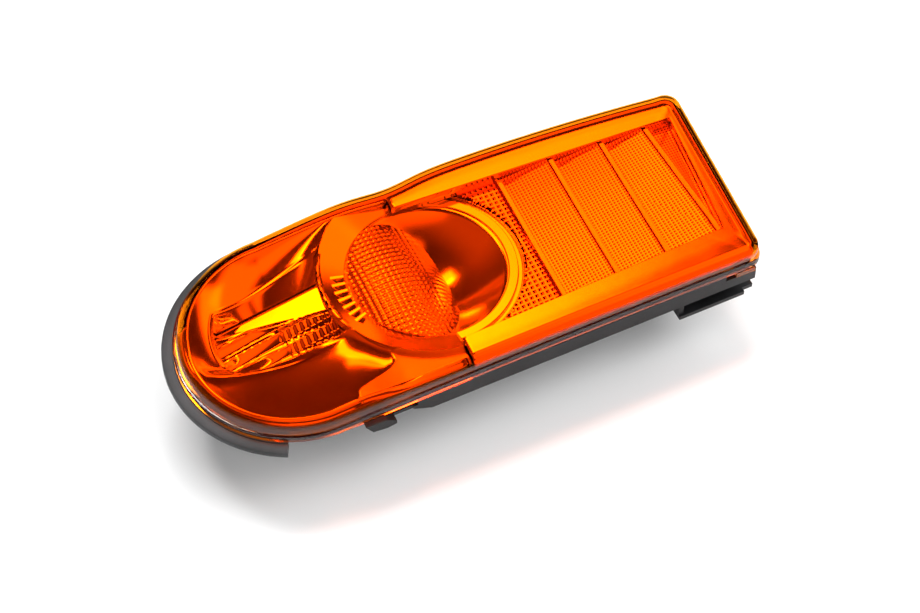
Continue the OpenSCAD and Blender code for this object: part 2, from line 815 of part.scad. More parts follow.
module turn_contacts() {
    color("goldenrod") in_frame() translate(dome) contacts(turn_bore, 3, 0);
}

module marker_bulb() {
    color([0.95, 0.6, 0.2, 0.7]) in_frame() translate(marker) bulb(marker_glass[0], marker_glass[1], marker_base);
}

module marker_socket() {
    color([0.16, 0.16, 0.17]) in_frame() translate(marker) socket(marker_bore, marker_base, marker_w, 180);
}

module marker_gasket() {
    color([0.25, 0.12, 0.1]) in_frame() translate(marker) gasket(marker_bore);
}

module marker_contacts() {
    color("goldenrod") in_frame() translate(marker) contacts(marker_bore, 2, 180);
}

// Mounting rail under the near flange, with its ears, hook and channel bracket

rail_x0 = 31.4;
rail_x1 = body_l - 5.5;
rail_y0 = near_y(rail_x0);
rail_turn = atan((near_y(rail_x1) - rail_y0) / (rail_x1 - rail_x0));
rail_l = (rail_x1 - rail_x0) / cos(rail_turn);
hook_x = 12;
channel_x0 = rail_l - channel_l - 5;
channel_d = 8;

// Draws its children with x along the rail's near face and y into the lamp
module along_rail() {
    translate([rail_x0, rail_y0 + 0.2, 0]) rotate(rail_turn) children();
}

module mounting_rail() {
    ear_l = 11;
    lip_z = -rail_h - channel_h - rail_t;
    color([0.17, 0.17, 0.18]) in_frame() difference() {
        union() {
            along_rail() {
                // Web, tapered at its left end
                translate([0, rail_t, 0]) rotate([90, 0, 0]) linear_extrude(rail_t) polygon([
                    [0, -2.9],
                    [0, -4.4],
                    [8, -rail_h],
                    [rail_l, -rail_h],
                    [rail_l, -2.9]
                ]);
                // Thin top that meets the lens flange
                translate([2, 0, -3.2]) cube([rail_l - 16, 1.1, 3.2]);
                // Thin tail that carries the hook
                translate([-rail_x0 + hook_x + 10, 0.6, -4.4]) cube([rail_x0 - hook_x - 9, 1, 1.8]);
                channel(lip_z);
            }
            hook();
            for (x = rail_posts) translate([x - ear_l / 2, near_y(x) + 1.2, rail_post_z - rail_t])
                cube([ear_l, rail_post_in + 0.8, rail_t]);
        }
        for (x = rail_posts) translate([x, near_y(x) + rail_post_in, rail_post_z - rail_t - 1])
            cylinder(h = rail_t + 2, d = 3, $fn = 24);
    }
}

// Channel bracket, open to the near side and at its right end
module channel(lip_z) {
    roof_t = 1.4;
    wall_h = channel_h + rail_t + roof_t;
    translate([channel_x0, rail_t - eps, -rail_h]) cube([channel_l, channel_d - rail_t, roof_t]);
    translate([channel_x0, channel_d - rail_t, lip_z]) cube([channel_l, rail_t, wall_h]);
    translate([channel_x0, -1, lip_z]) cube([channel_l, channel_d, rail_t]);
    translate([channel_x0, 0, lip_z]) cube([rail_t, channel_d, wall_h]);
    translate([channel_x0 + channel_l - eps, 1, lip_z]) cube([5, 3, rail_t]);
}

// Small wedge at the rail's tail, under the lens flange's edge
module hook() {
    translate([hook_x, near_y(hook_x) - 2.4, 0]) rotate([90, 0, 0]) mirror([0, 0, 1]) linear_extrude(3.8) polygon([
        [-2, 0],
        [7, 0],
        [11, -2.6],
        [11, -4.4],
        [7, -5.4],
        [1, -4.8]
    ]);
}

module rail_screws() {
    color("silver") in_frame() for (x = rail_posts)
        translate([x, near_y(x) + rail_post_in, rail_post_z - rail_t + rail_screw[1]]) mirror([0, 0, 1])
            screw(rail_screw);
}

outer_lens();
rear_housing();
lens_bead();
edge_seal();
reflector();
bezel_frame();
reflex_insert();
inner_lens();
marker_optic();
turn_bulb();
turn_socket();
turn_gasket();
turn_contacts();
marker_bulb();
marker_socket();
marker_gasket();
marker_contacts();
vent_cap();
mounting_rail();
rail_screws();
reflector_screws();
boss_inserts();
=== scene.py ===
"""Looks of an amber vehicle indicator lamp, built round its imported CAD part.

Lengths in the piece classes are millimetres in the lamp's own frame: the origin is the centre of the
round end on the lens flange's underside, +X runs to the square end, +Y to the far side and +Z out of
the lens. Row.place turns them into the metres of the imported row. Angles a and shares t, u and v are
in radians and from 0 to 1.
"""

import logging
import math
from collections.abc import Callable, Sequence
from dataclasses import dataclass, field
from enum import Enum
from typing import NamedTuple, Self

import bmesh
import bpy
from mathutils import Matrix, Vector


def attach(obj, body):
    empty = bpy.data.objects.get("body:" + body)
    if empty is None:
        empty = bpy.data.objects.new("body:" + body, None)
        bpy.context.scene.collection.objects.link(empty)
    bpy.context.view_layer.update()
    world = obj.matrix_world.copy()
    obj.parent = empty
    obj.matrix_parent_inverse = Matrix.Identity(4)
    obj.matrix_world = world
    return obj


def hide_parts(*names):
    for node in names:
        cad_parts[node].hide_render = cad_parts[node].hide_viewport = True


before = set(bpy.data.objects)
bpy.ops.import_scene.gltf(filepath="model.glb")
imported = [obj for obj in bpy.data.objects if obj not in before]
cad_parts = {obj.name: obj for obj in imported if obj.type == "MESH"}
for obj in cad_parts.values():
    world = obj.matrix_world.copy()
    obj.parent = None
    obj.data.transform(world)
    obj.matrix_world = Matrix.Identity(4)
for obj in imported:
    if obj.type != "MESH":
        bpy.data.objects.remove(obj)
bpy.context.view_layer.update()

BODY = "root"
MM_PER_M = 1000
FULL_TURN = 360.0
MIX_A, MIX_B, MIX_RESULT = 6, 7, 2

log = logging.getLogger("lamp")

Pair = tuple[float, float]
Triple = tuple[float, float, float]
Shape = Callable[[float, float], Vector]
Output = bpy.types.NodeSocket


def ease(t: float) -> float:
    """Smooth step from 0 to 1."""
    c = min(1.0, max(0.0, t))
    return c * c * (3 - 2 * c)


def mix(a: float, b: float, t: float) -> float:
    """Value between a and b."""
    return a + (b - a) * t


def polar(centre: Sequence[float], r: float, a: float) -> Pair:
    """Point at the distance r from a centre in the direction a."""
    return centre[0] + r * math.cos(a), centre[1] + r * math.sin(a)


@dataclass(frozen=True)
class Row:
    """Where the lamp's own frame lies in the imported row."""

    pattern_x: float = 90.0
    pattern_y: float = 3.0
    flange_z: float = 37.0

    def matrix(self) -> Matrix:
        """Matrix from lamp millimetres to row metres."""
        move = Matrix.Translation((-self.pattern_x, -self.pattern_y, self.flange_z))
        return Matrix.Scale(1 / MM_PER_M, 4) @ move

    def place(self, x: float, y: float, z: float) -> Vector:
        """Point in the row, in metres, for a point of the lamp in millimetres."""
        return self.matrix() @ Vector((x, y, z))


ROW = Row()


class Socket(Enum):
    """What a node group's socket carries."""

    NUMBER = "NodeSocketFloat"
    VECTOR = "NodeSocketVector"


class Nodes:
    """The nodes of a material, a world or a shared group, with short ways to add and join them."""

    def __init__(self, owner: bpy.types.ID) -> None:
        """Empties the owner's tree.

        Args:
            owner: The material, the world or the group.
        """
        if isinstance(owner, bpy.types.NodeTree):
            self.tree = owner
        else:
            owner.use_nodes = True
            self.tree = owner.node_tree
        self.tree.nodes.clear()

    def add(self, kind: str, **values: object) -> bpy.types.Node:
        """Adds a node and sets its properties and sockets.

        Args:
            kind: The node's type name, without the ShaderNode prefix.
            values: A property's name in small letters, or a socket's name with _ for each space.

        Returns:
            The new node.
        """
        node = self.tree.nodes.new("ShaderNode" + kind)
        for name, value in values.items():
            if name[0].islower():
                setattr(node, name, value)
            else:
                node.inputs[name.replace("_", " ")].default_value = value
        return node

    def join(self, source: Output, target: bpy.types.NodeSocket) -> None:
        """Links an output to an input."""
        self.tree.links.new(source, target)

    def feed(self, node: bpy.types.Node, *sources: object) -> bpy.types.Node:
        """Fills a node's first inputs in order.

        Args:
            node: The node.
            sources: An output to link, or a plain value, for each input.

        Returns:
            The same node.
        """
        for source, target in zip(sources, node.inputs):
            if isinstance(source, bpy.types.NodeSocket):
                self.join(source, target)
            else:
                target.default_value = source
        return node

    def number(self, operation: str, *sources: object, **values: object) -> Output:
        """Result of a Math node that is fed with the sources."""
        return self.feed(self.add("Math", operation=operation, **values), *sources).outputs[0]

    def dot(self, first: object, second: object) -> Output:
        """Dot product of two vectors."""
        return self.feed(self.add("VectorMath", operation="DOT_PRODUCT"), first, second).outputs["Value"]

    def blend(self, share: object, first: Output, second: Output) -> Output:
        """Mix of two shaders."""
        return self.feed(self.add("MixShader"), share, first, second).outputs[0]

    def noise(self, scale: float, detail: float) -> bpy.types.Node:
        """Noise on Object coordinates."""
        node = self.add("TexNoise", Scale=scale, Detail=detail)
        self.join(self.add("TexCoord").outputs["Object"], node.inputs["Vector"])
        return node

    def relief(self, scale: float, strength: float, depth: float) -> Output:
        """Bumped normal from the shared relief group."""
        node = self.add("Group", node_tree=relief_group(), Scale=scale, Strength=strength, Depth=depth)
        return node.outputs["Normal"]

    def finish(self, shader: Output, kind: str = "OutputMaterial") -> None:
        """Joins a shader to the tree's own output."""
        self.join(shader, self.add(kind).inputs["Surface"])


def start_group(name: str, inputs: dict[str, Socket], outputs: dict[str, Socket]) -> Nodes:
    """Starts a shared node group.

    Args:
        name: The group's name.
        inputs: What each input carries, by its label.
        outputs: What each output carries, by its label.

    Returns:
        The group's nodes, of which there are none yet.
    """
    group = bpy.data.node_groups.new(name, "ShaderNodeTree")
    for way, sockets in (("INPUT", inputs), ("OUTPUT", outputs)):
        for label, carries in sockets.items():
            group.interface.new_socket(label, in_out=way, socket_type=carries.value)
    return Nodes(group)


def relief_group() -> bpy.types.NodeTree:
    """Makes the shared group that turns noise on Object coordinates into a bumped normal.

    Returns:
        The group, with Scale, Strength and Depth sockets and a Normal output.
    """
    name = "surface_relief"
    if name in bpy.data.node_groups:
        return bpy.data.node_groups[name]
    inputs = dict.fromkeys(("Scale", "Strength", "Depth"), Socket.NUMBER)
    nodes = start_group(name, inputs, {"Normal": Socket.VECTOR})
    ins = nodes.tree.nodes.new("NodeGroupInput")
    outs = nodes.tree.nodes.new("NodeGroupOutput")
    noise = nodes.noise(1.0, 3.0)
    bump = nodes.add("Bump")
    nodes.join(ins.outputs["Scale"], noise.inputs["Scale"])
    nodes.join(noise.outputs["Fac"], bump.inputs["Height"])
    nodes.join(ins.outputs["Strength"], bump.inputs["Strength"])
    nodes.join(ins.outputs["Depth"], bump.inputs["Distance"])
    nodes.join(bump.outputs["Normal"], outs.inputs["Normal"])
    return nodes.tree


@dataclass(frozen=True)
class ClearPlastic:
    """Clear or tinted moulded acrylic that lets the light through.

    Its front reflection is full up to the height gloss_below, in metres, and has the strength gloss
    above it. The share mirror of it is a soft gloss. Its outer edges on the side that faces the light carry a
    painted glow, a diffuse layer that stands for light shining through the plastic from behind.
    """

    name: str
    tint: Triple
    roughness: float = 0.02
    ior: float = 1.49
    gloss: float = 1.0
    gloss_below: float = 0.0
    gloss_fade: float = 0.002
    mirror: float = 0.0
    lit_side_glow: float = 0.0
    lit_side_glow_colour: Triple = (1.0, 0.36, 0.02)
    light_side: Triple = (0.6, 0.8, 0.0)
    lit_side_span: Pair = (0.1, 0.4)
    middle: Triple = (-0.024, 0.0, 0.04)

    @property
    def face_tint(self) -> tuple[float, ...]:
        """Tint of one passage through a face."""
        return *(math.sqrt(c) for c in self.tint), 1

    def add_dull_top(self, nodes: Nodes, body: Output) -> Output:
        """Fades the front reflection above the height gloss_below.

        Args:
            nodes: The material's nodes.
            body: The clear plastic's shader.

        Returns:
            The shader with the fade.
        """
        height = nodes.feed(nodes.add("SeparateXYZ"), nodes.add("TexCoord").outputs["Object"])
        fade = nodes.add("MapRange", From_Min=self.gloss_below, From_Max=self.gloss_below + self.gloss_fade,
                         To_Max=1.0 - self.gloss)
        plain = nodes.add("BsdfRefraction", Color=self.face_tint, Roughness=self.roughness, IOR=self.ior)
        nodes.join(height.outputs["Z"], fade.inputs["Value"])
        return nodes.blend(fade.outputs["Result"], body, plain.outputs[0])

    def add_lit_side_glow(self, nodes: Nodes, body: Output) -> Output:
        """Paints a glow on the outer edges that face the light, a diffuse layer that stands for light shining
        through from behind.

        Args:
            nodes: The material's nodes.
            body: The clear plastic's shader.

        Returns:
            The shader with the painted glow on the far and right edges.
        """
        facing = nodes.add("NewGeometry")
        normal = facing.outputs["Normal"]
        span = nodes.add("MapRange", interpolation_type="SMOOTHSTEP", From_Min=self.lit_side_span[0],
                         From_Max=self.lit_side_span[1], To_Max=self.lit_side_glow)
        nodes.join(nodes.dot(normal, self.light_side), span.inputs["Value"])
        place = nodes.add("TexCoord").outputs["Object"]
        arm = nodes.feed(nodes.add("VectorMath", operation="SUBTRACT"), place, self.middle)
        outer = nodes.number("GREATER_THAN", nodes.dot(arm.outputs[0], normal), 0.0)
        front = nodes.number("SUBTRACT", outer, facing.outputs["Backfacing"])
        amount = nodes.number("MULTIPLY", span.outputs["Result"], front, use_clamp=True)
        # Painted glow: a diffuse layer kept to the outer faces on the lit side, standing for light from
        # behind.
        glow = nodes.add("BsdfDiffuse", Color=(*self.lit_side_glow_colour, 1))
        return nodes.blend(amount, body, glow.outputs[0])

    def material(self) -> bpy.types.Material:
        """Makes the material.

        Returns:
            Principled glass whose shadow rays pass with the tint of one face.
        """
        made = bpy.data.materials.new(self.name)
        nodes = Nodes(made)
        gloss = 1.0 if self.gloss_below else self.gloss
        glass = nodes.add("BsdfPrincipled", Base_Color=(*self.tint, 1), Roughness=self.roughness,
                          IOR=self.ior, Transmission_Weight=1.0, Specular_Tint=(gloss, gloss, gloss, 1))
        body = glass.outputs[0]
        if self.gloss_below:
            body = self.add_dull_top(nodes, body)
        if self.mirror:
            sheen = nodes.add("BsdfGlossy", Color=(*self.tint, 1), Roughness=self.roughness + 0.1)
            body = nodes.blend(self.mirror, body, sheen.outputs[0])
        # Painted glow on the edges that face the light.
        if self.lit_side_glow:
            body = self.add_lit_side_glow(nodes, body)
        clear = nodes.add("BsdfTransparent", Color=self.face_tint)
        path = nodes.add("LightPath")
        nodes.finish(nodes.blend(path.outputs["Is Shadow Ray"], body, clear.outputs[0]))
        return made


@dataclass(frozen=True)
class Metallised:
    """Plastic with a bright vacuum-metallised face, a little uneven."""

    name: str
    colour: Triple = (0.93, 0.93, 0.94)
    roughness: float = 0.1
    uneven: float = 0.06
    patch_scale: float = 90.0
    ripple: float = 0.05
    ripple_scale: float = 60.0
    ripple_depth: float = 0.0005

    def material(self) -> bpy.types.Material:
        """Makes the material.

        Returns:
            Metal whose roughness and normal change a little over the surface.
        """
        made = bpy.data.materials.new(self.name)
        nodes = Nodes(made)
        metal = nodes.add("BsdfPrincipled", Base_Color=(*self.colour, 1), Metallic=1.0)
        span = nodes.add("MapRange", To_Min=self.roughness, To_Max=self.roughness + self.uneven)
        nodes.join(nodes.noise(self.patch_scale, 4.0).outputs["Fac"], span.inputs["Value"])
        nodes.join(span.outputs["Result"], metal.inputs["Roughness"])
        nodes.join(nodes.relief(self.ripple_scale, self.ripple, self.ripple_depth), metal.inputs["Normal"])
        nodes.finish(metal.outputs[0])
        return made


@dataclass(frozen=True)
class Moulded:
    """Opaque moulded plastic, rubber or plain metal with a fine grain and worn patches."""

    name: str
    colour: Triple
    worn: Triple
    roughness: float = 0.45
    metallic: float = 0.0
    specular: float = 0.5
    patch_scale: float = 70.0
    patch_span: Pair = (0.35, 0.75)
    grain: float = 0.25
    grain_scale: float = 2200.0
    grain_depth: float = 0.0001

    def material(self) -> bpy.types.Material:
        """Makes the material.

        Returns:
            A skin whose colour drifts between its two colours, with a grained normal.
        """
        made = bpy.data.materials.new(self.name)
        nodes = Nodes(made)
        skin = nodes.add("BsdfPrincipled", Roughness=self.roughness, Metallic=self.metallic,
                         Specular_IOR_Level=self.specular)
        drift = nodes.add("MapRange", From_Min=self.patch_span[0], From_Max=self.patch_span[1])
        drawn = nodes.add("Mix", data_type="RGBA")
        drawn.inputs[MIX_A].default_value = (*self.colour, 1)
        drawn.inputs[MIX_B].default_value = (*self.worn, 1)
        nodes.join(nodes.noise(self.patch_scale, 6.0).outputs["Fac"], drift.inputs["Value"])
        nodes.join(drift.outputs["Result"], drawn.inputs["Factor"])
        nodes.join(drawn.outputs[MIX_RESULT], skin.inputs["Base Color"])
        nodes.join(nodes.relief(self.grain_scale, self.grain, self.grain_depth), skin.inputs["Normal"])
        nodes.finish(skin.outputs[0])
        return made


Finish = ClearPlastic | Metallised | Moulded


class Finishes:
    """The lamp's finishes, each made once."""

    # The lens's painted glow on its far and right edges stands for the light coming from behind.
    amber_lens = ClearPlastic("amber_lens", (0.97, 0.21, 0.002), gloss=0.0, gloss_below=0.0428, lit_side_glow=0.75)
    clear_optic = ClearPlastic("clear_optic", (1.0, 0.85, 0.6), roughness=0.08, gloss=0.6, mirror=0.7)
    bulb_glass = ClearPlastic("bulb_glass", (1.0, 0.6, 0.2), roughness=0.05)
    bright_metal = Metallised("bright_metal")
    # Painted shade: the shelf is part of the same bright moulding, and its metal is made darker so that it
    # mirrors the key light less. Its higher roughness is a real satin finish.
    satin_shaded_metal = Metallised("satin_shaded_metal", (0.6, 0.6, 0.6), roughness=0.4)
    flute_metal = Metallised("flute_metal", roughness=0.04, uneven=0.03, ripple=0.02)
    reflex_face = Metallised("reflex_face", (0.92, 0.47, 0.3), roughness=0.07, uneven=0.03)
    reflex_rib = Metallised("reflex_rib", (1.0, 0.9, 0.7), roughness=0.28)
    black_rail = Moulded("black_rail", (0.006, 0.006, 0.0065), (0.014, 0.014, 0.015), 0.4, specular=0.22)
    black_tub = Moulded("black_tub", (0.014, 0.014, 0.015), (0.022, 0.022, 0.024), 0.55)
    grey_rubber = Moulded("grey_rubber", (0.022, 0.022, 0.023), (0.04, 0.04, 0.042), 0.5, specular=0.35)
    sealant = Moulded("sealant", (0.01, 0.01, 0.01), (0.02, 0.02, 0.02), 0.35)
    red_silicone = Moulded("red_silicone", (0.2, 0.03, 0.02), (0.26, 0.05, 0.03), 0.5)
    brass = Moulded("brass", (0.72, 0.5, 0.2), (0.6, 0.4, 0.15), 0.3, metallic=1.0, grain=0.05)
    zinc = Moulded("zinc", (0.55, 0.56, 0.58), (0.45, 0.46, 0.48), 0.35, metallic=1.0, grain=0.05)

    _made: dict[str, bpy.types.Material] = {}

    @classmethod
    def get(cls, finish: Finish) -> bpy.types.Material:
        """Gives the material of a finish, and makes it at its first use.

        Args:
            finish: The finish.

        Returns:
            Its material.
        """
        if finish.name not in cls._made:
            cls._made[finish.name] = finish.material()
        return cls._made[finish.name]


class Side(Enum):
    """The lamp's two long sides."""

    NEAR = "near"
    FAR = "far"


class EdgePoint(NamedTuple):
    """A point of the flange's edge: its arc's centre, radius and direction, and how it moves past the arc."""

    cx: float
    cy: float
    r: float
    ux: float
    uy: float
    sx: float
    sy: float

    @property
    def x(self) -> float:
        """Place on the edge itself, along the lamp."""
        return self.cx + self.r * self.ux

    @property
    def y(self) -> float:
        """Place on the edge itself, across the lamp."""
        return self.cy + self.r * self.uy

    def inset(self, s: float, least: float) -> Pair:
        """Moves the point inwards.

        Args:
            s: How far.
            least: Radius that a corner keeps.

        Returns:
            The point's place.
        """
        r = min(self.r, max(self.r - s, least))
        m = s - (self.r - r)
        return self.cx + r * self.ux - m * self.sx, self.cy + r * self.uy - m * self.sy


@dataclass(frozen=True)
class Outline:
    """The lens flange's outline, round at one end and square at the other."""

    end_r: float = 48.0
    body_l: float = 190.5
    near_rise: float = 8.6
    far_bow: float = 5.4
    neck_dip: float = 2.2
    near_corner: float = 7.0
    far_corner: float = 8.0
    end_lean: float = 0.05
    far_x: float = 99.0
    neck_x: float = 60.0
    neck_w: float = 14.0
    corner_min: float = 1.2
    end_draft: float = 3.0
    draft_to: float = 54.0
    arc_steps: int = 96
    corner_steps: int = 12
    end_steps: int = 16

    def near_y(self, x: float) -> float:
        """Height of the near side at x."""
        return -self.end_r + self.near_rise * (1 - (1 - max(x, 0) / (2 * self.body_l)) ** 2)

    def far_y(self, x: float) -> float:
        """Height of the far side at x."""
        bow = self.far_bow * (1 - (1 - max(x, 0) / self.far_x) ** 2)
        return self.end_r + bow - self.neck_dip * math.exp(-(((x - self.neck_x) / self.neck_w) ** 2))

    def end_x(self, y: float) -> float:
        """Place of the square end at y."""
        return self.body_l + self.end_lean * y

    def corner(self, side: Side) -> list[EdgePoint]:
        """Edge points round one of the square end's corners.

        Args:
            side: The corner's side.

        Returns:
            The points, counterclockwise seen from above.
        """
        angles = [i / self.corner_steps * math.pi / 2 for i in range(self.corner_steps + 1)]
        if side is Side.NEAR:
            r = self.near_corner
            y = self.near_y(self.body_l - r) + r
            return [EdgePoint(self.end_x(y) - r, y, r, math.sin(a), -math.cos(a), 1, -1) for a in angles]
        r = self.far_corner
        y = self.far_y(self.body_l - r) - r
        return [EdgePoint(self.end_x(y) - r, y, r, math.cos(a), math.sin(a), 1, 1) for a in angles]

    def square_part(self, x0: float, n: int = 60) -> list[EdgePoint]:
        """Edge points from x0 on the near side, round the square end, back to x0 on the far side.

        Args:
            x0: Where the run starts and ends.
            n: How many points lie on each long side.

        Returns:
            The points, counterclockwise seen from above.
        """
        near_corner, far_corner = self.corner(Side.NEAR), self.corner(Side.FAR)
        near = [mix(x0, near_corner[0].cx, i / n) for i in range(n)]
        far = [mix(far_corner[0].cx, x0, i / n) for i in range(1, n + 1)]
        ends = range(1, self.end_steps)
        across = [mix(near_corner[0].cy, far_corner[0].cy, i / self.end_steps) for i in ends]
        return [
            *(EdgePoint(x, self.near_y(x), 0, 0, 0, 0, -1) for x in near),
            *near_corner,
            *(EdgePoint(self.end_x(y), y, 0, 0, 0, 1, 0) for y in across),
            *far_corner,
            *(EdgePoint(x, self.far_y(x), 0, 0, 0, 0, 1) for x in far),
        ]

    def whole(self) -> list[EdgePoint]:
        """Edge points of the whole outline.

        Returns:
            The points, counterclockwise seen from above.
        """
        arc = [math.pi / 2 + math.pi * i / self.arc_steps for i in range(self.arc_steps)]
        round_end = [EdgePoint(0, 0, self.end_r, math.cos(a), math.sin(a), 0, 0) for a in arc]
        return [*round_end, *self.square_part(0)[:-1]]

    def ring(self, points: Sequence[EdgePoint], d: float, e: float, z: float) -> list[Vector]:
        """Moves the outline in.

        Args:
            points: The outline's points.
            d: How far it goes in.
            e: How far the round end goes in beyond that.
            z: The ring's height.

        Returns:
            The ring.
        """
        made = []
        for p in points:
            more = ease((self.draft_to - p.x) / (self.draft_to + self.end_r))
            made.append(Vector((*p.inset(d + e * more, self.corner_min), z)))
        return made


OUTLINE = Outline()


class Piece:
    """One new piece, made with bmesh operators in lamp millimetres."""

    def __init__(self, name: str) -> None:
        """Starts an empty mesh.

        Args:
            name: The piece's name.
        """
        self.name = name
        self.mesh = bmesh.new()
        self.order = self.mesh.verts.layers.int.new("order")

    def loft(self, rings: Sequence[Sequence[Vector]], caps: bool = True) -> Self:
        """Skins rings of equal count, by extruding a circle from ring to ring.

        Args:
            rings: The rings, in order.
            caps: Whether the two ends are filled.

        Returns:
            The piece.
        """
        circle = bmesh.ops.create_circle(self.mesh, cap_ends=False, segments=len(rings[0]), radius=1.0)
        for i, vert in enumerate(circle["verts"]):
            vert[self.order] = i
            vert.co = rings[0][i]
        first = list(dict.fromkeys(e for v in circle["verts"] for e in v.link_edges))
        edges = first
        for ring in rings[1:]:
            grown = bmesh.ops.extrude_edge_only(self.mesh, edges=edges)["geom"]
            verts = {g for g in grown if isinstance(g, bmesh.types.BMVert)}
            edges = [g for g in grown if isinstance(g, bmesh.types.BMEdge) and set(g.verts) <= verts]
            for vert in verts:
                vert.co = ring[vert[self.order]]
        if caps:
            bmesh.ops.contextual_create(self.mesh, geom=first)
            bmesh.ops.contextual_create(self.mesh, geom=edges)
        return self

    def sheet(self, across: int, along: int, shape: Shape) -> Self:
        """Adds a grid and moves each of its points by a formula.

        Args:
            across: Faces in the first direction.
            along: Faces in the second direction.
            shape: Gives the place for the two grid coordinates, each from 0 to 1.

        Returns:
            The piece.
        """
        grid = bmesh.ops.create_grid(self.mesh, x_segments=across, y_segments=along, size=1.0)
        for vert in grid["verts"]:
            vert.co = shape((vert.co.x + 1) / 2, (vert.co.y + 1) / 2)
        return self

    def spin(self, profile: Sequence[Pair], centre: Pair, steps: int, start: float = 0.0,
             turn: float = FULL_TURN) -> Self:
        """Spins a profile round an upright axis.

        Args:
            profile: Radius and height of each profile point.
            centre: Where the axis stands.
            steps: How many steps the spin takes.
            start: Angle of the profile, in degrees.
            turn: Angle of the spin, in degrees.

        Returns:
            The piece.
        """
        a = math.radians(start)
        verts = [self.mesh.verts.new((*polar(centre, r, a), z)) for r, z in profile]
        edges = [self.mesh.edges.new(pair) for pair in zip(verts, verts[1:])]
        bmesh.ops.spin(self.mesh, geom=[*verts, *edges], cent=(*centre, 0), axis=(0, 0, 1),
                       angle=math.radians(turn), steps=steps, use_merge=turn >= FULL_TURN)
        return self

    def prism(self, corners: Sequence[Pair], z0: float, z1: float) -> Self:
        """Raises a flat polygon.

        Args:
            corners: The polygon's corners.
            z0: Height of its foot.
            z1: Height of its top.

        Returns:
            The piece.
        """
        verts = [self.mesh.verts.new((x, y, z0)) for x, y in corners]
        face = self.mesh.faces.new(verts)
        grown = bmesh.ops.extrude_face_region(self.mesh, geom=[face])["geom"]
        tops = [g for g in grown if isinstance(g, bmesh.types.BMVert)]
        bmesh.ops.translate(self.mesh, verts=tops, vec=(0, 0, z1 - z0))
        return self

    def cut(self, picked: Callable[[Vector], bool]) -> Self:
        """Deletes faces.

        Args:
            picked: Says of a face's middle whether the face goes.

        Returns:
            The piece.
        """
        doomed = [f for f in self.mesh.faces if picked(f.calc_center_median())]
        bmesh.ops.delete(self.mesh, geom=doomed, context="FACES")
        return self

    def weld(self) -> Self:
        """Merges doubled points and turns every face outwards.

        Returns:
            The piece.
        """
        bmesh.ops.remove_doubles(self.mesh, verts=self.mesh.verts, dist=0.004)
        bmesh.ops.dissolve_degenerate(self.mesh, edges=self.mesh.edges, dist=0.002)
        bmesh.ops.recalc_face_normals(self.mesh, faces=self.mesh.faces)
        return self

    def face_up(self) -> Self:
        """Welds an open sheet and turns it over if most of its area looks down.

        Returns:
            The piece.
        """
        self.weld()
        if sum(f.normal.z * f.calc_area() for f in self.mesh.faces) < 0:
            bmesh.ops.reverse_faces(self.mesh, faces=self.mesh.faces)
        return self

    def done(self, finish: Finish, *nodes: str, crease: float = 32.0, wall: float = 0.0,
             round_edge: float = 0.0) -> bpy.types.Object:
        """Turns the mesh into a finished object on the lamp's body.

        Args:
            finish: The piece's finish.
            nodes: The CAD nodes that it stands for, which it hides.
            crease: Angle past which an edge is sharp, in degrees.
            wall: Thickness given to an open sheet, in millimetres.
            round_edge: Width of the bevel on its sharp edges, in millimetres.

        Returns:
            The object.
        """
        self.mesh.transform(ROW.matrix())
        data = bpy.data.meshes.new(self.name)
        self.mesh.to_mesh(data)
        self.mesh.free()
        made = bpy.data.objects.new(self.name, data)
        bpy.context.scene.collection.objects.link(made)
        data.materials.append(Finishes.get(finish))
        data.polygons.foreach_set("use_smooth", [True] * len(data.polygons))
        if wall:
            solid = made.modifiers.new("wall", "SOLIDIFY")
            solid.thickness = wall / MM_PER_M
            solid.offset = -1.0
            solid.use_even_offset = False
        if round_edge:
            soften(made, round_edge, crease)
        data.set_sharp_from_angle(angle=math.radians(crease))
        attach(made, BODY)
        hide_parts(*nodes)
        log.info("%s: %d faces", self.name, len(data.polygons))
        return made


def soften(made: bpy.types.Object, width: float, crease: float) -> None:
    """Rounds an object's sharp edges with a live bevel.

    Args:
        made: The object.
        width: Width of the bevel, in millimetres.
        crease: Angle past which an edge is rounded, in degrees.
    """
    bevel = made.modifiers.new("edges", "BEVEL")
    bevel.width = width / MM_PER_M
    bevel.segments = 2
    bevel.limit_method = "ANGLE"
    bevel.angle_limit = math.radians(crease)
    bevel.harden_normals = False


